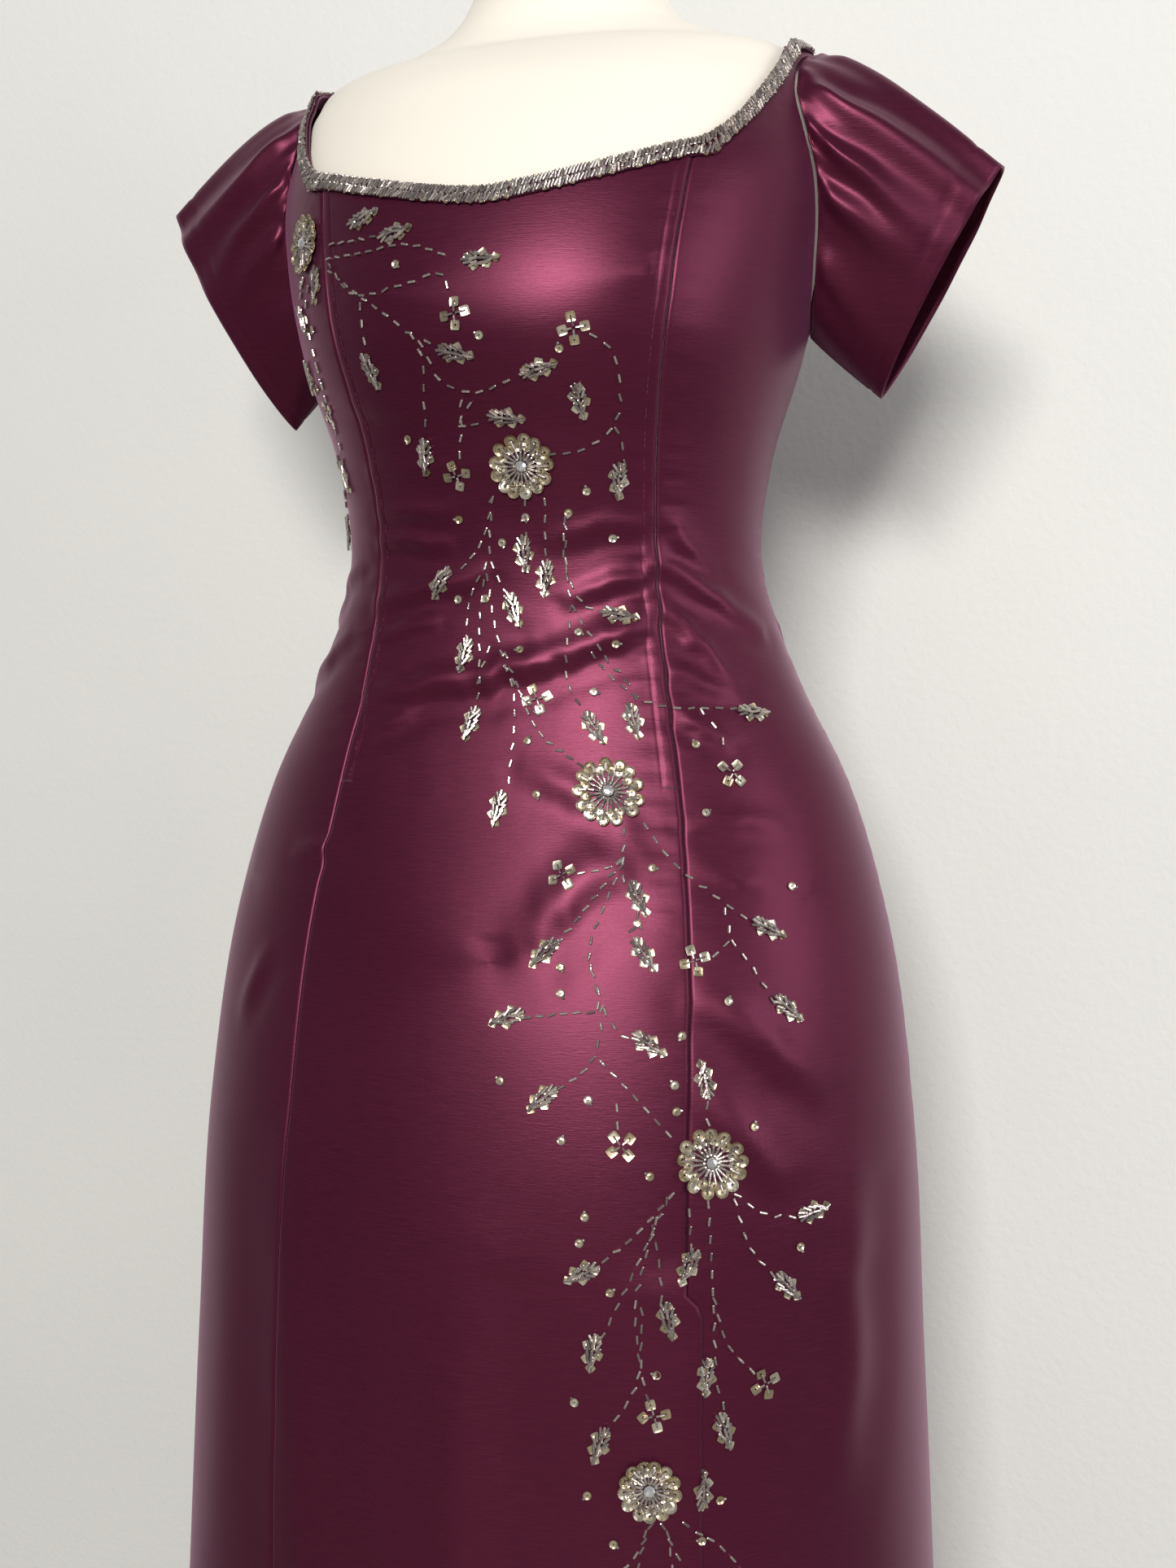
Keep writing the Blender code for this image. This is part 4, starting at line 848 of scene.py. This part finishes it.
for at, level, turn in FOURS:
    petal = np.radians(turn + np.arange(4) * 90.0 + chance.normal(0, 6, 4))
    string("square", *moved(at, level, 0.0062 * np.cos(petal), 0.0062 * np.sin(petal)),
           np.degrees(petal) + chance.normal(0, 10, 4), (0.0027, 0.0027, 0.0027), 0.0006,
           chance.normal(0, 7, 4))
    string("bugle", *moved(at, level, 0.0034 * np.cos(petal), 0.0034 * np.sin(petal)), np.degrees(petal),
           (0.0050, 0.00062, 0.00062), 0.0015)
for (at, level), turn in zip(SINGLES, chance.uniform(0, 360, len(SINGLES))):
    string("round", at, level, turn, (0.0024, 0.0024, 0.0024), 0.0004)
    string("seed", *moved(at, level, 0.0028 * math.cos(turn), 0.0028 * math.sin(turn)), 0.0,
           (0.0009, 0.0009, 0.0009), 0.0010)
for at, level, radius, first in FLOWERS:
    petal = np.radians(first + np.arange(13) * 360.0 / 13 + chance.normal(0, 2.5, 13))
    for reach, size, off, lifted in ((radius - 0.0036, 0.0037, 0.0012, 14), (radius - 0.0075, 0.0030, 0.0007, 8)):
        string("round", *moved(at, level, reach * np.cos(petal), reach * np.sin(petal)), np.degrees(petal),
               (size, size, size), off, lifted + chance.normal(0, 6, 13))
        petal = petal + math.pi / 13
    string("bugle", *moved(at, level, (radius - 0.0060) * np.cos(petal), (radius - 0.0060) * np.sin(petal)),
           np.degrees(petal), (0.0048, 0.00075, 0.00075), 0.0026)
    spoke = np.radians(first + np.arange(20) * 18.0)
    for reach, long in ((0.0058, 0.0046), (0.0098, 0.0042)):
        string("bugle", *moved(at, level, reach * np.cos(spoke), reach * np.sin(spoke)), np.degrees(spoke),
               (long, 0.00078, 0.00078), 0.0014, 6)
    ring = np.radians(np.arange(12) * 30.0)
    string("seed", *moved(at, level, 0.0042 * np.cos(ring), 0.0042 * np.sin(ring)), 0.0,
           (0.0008, 0.0008, 0.0008), 0.0020)
    string("stone", at, level, 0.0, (0.0034, 0.0034, 0.0034), 0.0026, 90.0)


# The topstitching in wine thread, which holds down the strips beside the front princess seams, and
# the small bars that end them.
rows = np.arange(STRIP_END, 1.226, 0.0031)
for way in (1, -1):
    inset = np.degrees(STITCH_LINE / section("half_width", rows)) * 1.02
    beside = (seam_angle("front_seam", rows) - inset) * way
    string("stitch", beside, rows, 90.0 - way * 3, (0.0025, 0.00022, 0.00022), 0.0003)
    bar = seam_angle("front_seam", np.full(9, STRIP_END)) * way - way * np.linspace(0.1, 3.6, 9)
    string("stitch", bar, np.full(9, STRIP_END - 0.0008), 62.0 * way, (0.0022, 0.00024, 0.00024), 0.0004)


def thread_up(name, shapes, finish):
    """One mesh of all the strung pieces of some shapes. Each point has its piece's own shade."""
    vertices, faces, shades, count = [], [], [], 0
    for shape in shapes:
        unit, quads = SHAPES[shape]
        places = np.concatenate([place.reshape(-1, 3) for place, _ in strung[shape]])
        axes = np.concatenate([axis.reshape(-1, 3, 3) for _, axis in strung[shape]])
        vertices.append((np.einsum("vi,nij->nvj", unit, axes) + places[:, None]).reshape(-1, 3))
        start = count + np.arange(len(places)) * len(unit)
        faces.append((quads[None] + start[:, None, None]).reshape(-1, 4))
        shades.append(np.repeat(chance.random(len(places)), len(unit)))
        count += len(places) * len(unit)
    mesh = bpy.data.meshes.new(name)
    mesh.from_pydata(np.concatenate(vertices), [], np.concatenate(faces))
    shade = mesh.attributes.new("shade", "FLOAT", "POINT")
    shade.data.foreach_set("value", np.concatenate(shades).astype(np.float32))
    mesh.materials.append(finish)
    piece = bpy.data.objects.new(name, mesh)
    bpy.context.scene.collection.objects.link(piece)
    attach(piece, "dress")
    return piece


def piece_shade(finish):
    """The shade of each bead, from 0 to 1, that its points carry."""
    return finish.add("ShaderNodeAttribute", {"attribute_name": "shade"}, {}, "Fac")


bugles = Finish("silver_bugles", {"Metallic": 0.80, "Specular IOR Level": 0.8})
shade = piece_shade(bugles)
bands = bugles.noise(bugles.place(), 620.0, 1.0)
tone = bugles.mix(shade, (0.30, 0.25, 0.25, 1.0), (0.74, 0.68, 0.62, 1.0))
bugles.feed({"Base Color": bugles.mix(bands * 0.7, tone, (0.26, 0.22, 0.20, 1.0)),
             "Roughness": 0.16 + shade * 0.16, "Normal": bugles.bump(bands, 0.0003, 0.5)})
sequins = Finish("gold_sequins", {"Metallic": 0.92})
shade = piece_shade(sequins)
cloudy = sequins.noise(sequins.place(), 260.0, 1.0)
gilt = sequins.mix(shade ** 1.6, (0.46, 0.37, 0.20, 1.0), (0.82, 0.78, 0.64, 1.0))
sequins.feed({"Base Color": sequins.mix(cloudy * 0.5, gilt, (0.60, 0.52, 0.44, 1.0)),
              "Roughness": 0.18 + cloudy * 0.18, "Normal": sequins.bump(cloudy, 0.0002, 0.4)})
crystal = Finish("cut_crystal", {"Metallic": 0.70, "Specular IOR Level": 1.0})
facets = crystal.noise(crystal.place(), 700.0, 1.0)
crystal.feed({"Base Color": crystal.mix(facets, (0.42, 0.42, 0.44, 1.0), (0.92, 0.92, 0.94, 1.0)),
              "Roughness": 0.05 + facets * 0.10, "Normal": crystal.bump(facets, 0.0004, 0.6)})
thread = Finish("wine_thread", {"Sheen Weight": 0.3})
strand = thread.noise(thread.place(), 3000.0, 1.0)
thread.feed({"Base Color": thread.mix(strand, (0.050, 0.006, 0.020, 1.0), (0.120, 0.020, 0.052, 1.0)),
             "Roughness": 0.5 + strand * 0.2, "Normal": thread.bump(strand, 0.0001, 0.5)})
thread_up("bugle_beads", ("bugle", "seed"), bugles.material)
thread_up("sequins", ("round", "square"), sequins.material)
thread_up("crystals", ("stone",), crystal.material)
thread_up("topstitching", ("stitch",), thread.material)


# The dress form: a padded shell covered in cream cotton jersey, cut off above the legs and at the
# top of the neck. The dress is stretched over it.
FORM_HEIGHTS = np.array([0.760, 0.790, 0.820, 0.860, 0.900, 0.935, 0.970, 1.005, 1.040, 1.070,
                         1.100, 1.130, 1.160, 1.190, 1.220, 1.241, 1.262, 1.276, 1.290, 1.305,
                         1.320, 1.334, 1.347, 1.357, 1.365, 1.374, 1.384, 1.396, 1.412, 1.440])
FORM_TOP, FORM_COLUMNS = 1.470, 160
form_rows = np.interp(np.linspace(0, len(FORM_HEIGHTS) - 1, 117), np.arange(len(FORM_HEIGHTS)), FORM_HEIGHTS)
around = np.arange(FORM_COLUMNS) * 360.0 / FORM_COLUMNS
rings = [body_point(around, np.full(FORM_COLUMNS, h), section("ease", h), creased=False) for h in form_rows]
for turn in np.radians(np.arange(8, 90, 8)):
    low = FORM_HEIGHTS[0]
    ring = body_point(around, np.full(FORM_COLUMNS, low), section("ease", low) + 0.020 * (1 - np.cos(turn)),
                      creased=False)
    ring[:, 2] = low - 0.015 * np.sin(turn)
    rings.insert(0, ring)
for turn in np.radians(np.arange(0, 90, 15)):
    ring = body_point(around, np.full(FORM_COLUMNS, FORM_TOP), section("ease", FORM_TOP)
                      + 0.004 * (1 - np.cos(turn)), creased=False)
    ring[:, 2] = FORM_TOP - 0.004 * (1 - np.sin(turn))
    rings.append(ring)
form_points = np.array(rings)
mesh = cloth_mesh("form_body", form_points, closed=True)
shape = bmesh.new()
shape.from_mesh(mesh)
bmesh.ops.holes_fill(shape, edges=[e for e in shape.edges if e.is_boundary], sides=0)
bmesh.ops.recalc_face_normals(shape, faces=shape.faces)
shape.to_mesh(mesh)
shape.free()
cover = Finish("cream_jersey", {"Sheen Weight": 0.2, "Sheen Roughness": 0.5})
knit = cover.noise(cover.place((900.0, 900.0, 1400.0)), 1.0, 2.0)
cloudy = cover.noise(cover.place(), 6.0, 2.0)
cover.feed({"Base Color": cover.mix(cloudy, (0.79, 0.74, 0.65, 1.0), (0.84, 0.80, 0.72, 1.0)),
            "Roughness": 0.62 + knit * 0.2, "Normal": cover.bump(knit, 0.0002, 0.4)})
form_body = bpy.data.objects.new("form_body", mesh)
bpy.context.scene.collection.objects.link(form_body)
mesh.materials.append(cover.material)
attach(form_body, "dress")
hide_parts("dress_form")


# The stand: a round steel base and its hub in cream paint, and a brushed steel pole. The zip's
# slider and its pull tab are nickel-plated.
paint = Finish("cream_paint", {"Specular IOR Level": 0.5})
speckle = paint.noise(paint.place(), 900.0, 2.0)
paint.feed({"Base Color": paint.mix(paint.noise(paint.place(), 5.0, 3.0), (0.74, 0.72, 0.67, 1.0),
                                    (0.82, 0.80, 0.75, 1.0)),
            "Roughness": 0.34 + speckle * 0.12, "Normal": paint.bump(speckle, 0.0001, 0.3)})
steel = Finish("brushed_pole", {"Metallic": 1.0, "Anisotropic": 0.5})
grain = steel.noise(steel.place((40.0, 40.0, 1800.0)), 1.0, 3.0)
steel.feed({"Base Color": steel.mix(grain, (0.48, 0.48, 0.50, 1.0), (0.66, 0.66, 0.67, 1.0)),
            "Roughness": 0.26 + grain * 0.14, "Normal": steel.bump(grain, 0.00004, 0.4)})
nickel = Finish("nickel_zip", {"Metallic": 1.0})
rub = nickel.noise(nickel.place(), 2600.0, 3.0)
nickel.feed({"Base Color": nickel.mix(rub, (0.52, 0.51, 0.50, 1.0), (0.72, 0.71, 0.69, 1.0)),
             "Roughness": 0.20 + rub * 0.16, "Normal": nickel.bump(rub, 0.00002, 0.4)})
for node, finish in (("stand_base", paint), ("stand_hub", paint), ("stand_pole", steel),
                     ("zip_slider", nickel), ("zip_pull", nickel)):
    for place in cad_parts[node].material_slots:
        place.material = finish.material


# The room: a rough plastered wall close behind the dress and a plain floor. The wall's far side
# lets the eye through, so that the dress is seen from behind as well.
WALL_Y = 0.27
wall_mesh = bpy.data.meshes.new("wall")
wall_mesh.from_pydata([(-6, WALL_Y, -0.001), (6, WALL_Y, -0.001), (6, WALL_Y, 4), (-6, WALL_Y, 4)], [],
                      [(0, 1, 2, 3)])
wall = bpy.data.objects.new("wall", wall_mesh)
plaster = Finish("plaster", {"Roughness": 0.85, "Specular IOR Level": 0.2})
stipple = plaster.noise(plaster.place(), 160.0, 4.0)
patches = plaster.noise(plaster.place(), 3.0, 3.0)
plaster.feed({"Base Color": plaster.mix(patches, (0.700, 0.705, 0.690, 1.0), (0.770, 0.770, 0.745, 1.0)),
              "Normal": plaster.bump(stipple, 0.0010, 0.5)})
behind = plaster.add("ShaderNodeNewGeometry", {}, {}, "Backfacing")
clear = plaster.add("ShaderNodeBsdfTransparent", {}, {})
surface = Wire(plaster, plaster.surface.outputs[0])
shown = plaster.add("ShaderNodeMixShader", {}, {0: behind, 1: surface, 2: clear})
plaster.join(plaster.tree.nodes["Material Output"], {"Surface": shown})
wall_mesh.materials.append(plaster.material)
bpy.context.scene.collection.objects.link(wall)
floor_mesh = bpy.data.meshes.new("floor")
rim = np.radians(np.arange(0, 360, 4))
floor_mesh.from_pydata(np.stack([6 * np.cos(rim), 6 * np.sin(rim), 0 * rim - 0.001], -1), [],
                       [list(range(len(rim)))])
floor = bpy.data.objects.new("floor", floor_mesh)
boards = Finish("grey_floor", {"Roughness": 0.6})
boards.feed({"Base Color": boards.mix(boards.noise(boards.place((1.0, 14.0, 1.0)), 4.0, 4.0),
                                      (0.20, 0.19, 0.175, 1.0), (0.27, 0.26, 0.24, 1.0))})
floor_mesh.materials.append(boards.material)
bpy.context.scene.collection.objects.link(floor)


# Light: a wide soft ceiling light in front of the dress, a window to its left, and a dim room.
def soft_light(name, place, target, size, power, color):
    """An area light at a place, turned to face a target."""
    lamp = bpy.data.lights.new(name, "AREA")
    lamp.shape = "RECTANGLE"
    lamp.size, lamp.size_y = size
    lamp.energy = power
    lamp.color = color
    light = bpy.data.objects.new(name, lamp)
    light.location = place
    away = np.array(place) - np.array(target)
    light.rotation_euler = (math.atan2(math.hypot(away[0], away[1]), away[2]), 0.0,
                            math.atan2(away[0], -away[1]))
    bpy.context.scene.collection.objects.link(light)


soft_light("ceiling_light", (0.45, -4.0, 2.35), (0.0, 0.0, 1.05), (1.6, 0.8), 175.0, (1.0, 0.97, 0.93))
soft_light("window_light", (2.6, -1.0, 1.6), (0.0, 0.2, 1.1), (0.8, 1.6), 22.0, (0.95, 0.97, 1.0))
room = bpy.data.worlds.new("room")
room.use_nodes = True
room.node_tree.nodes["Background"].inputs["Color"].default_value = (0.80, 0.82, 0.86, 1.0)
room.node_tree.nodes["Background"].inputs["Strength"].default_value = 0.24
bpy.context.scene.world = room
bpy.context.scene.view_settings.view_transform = "Standard"

lens = bpy.data.cameras.new("photo_camera")
lens.sensor_fit = "VERTICAL"
lens.sensor_height = 36.0
lens.lens = 35.5
lens.clip_start = 0.05
camera = bpy.data.objects.new("photo_camera", lens)
camera.location = (0.293, -0.956, 0.972)
camera.rotation_euler = (math.radians(85.70), 0.0, math.radians(15.84))
bpy.context.scene.collection.objects.link(camera)
bpy.context.scene.camera = camera
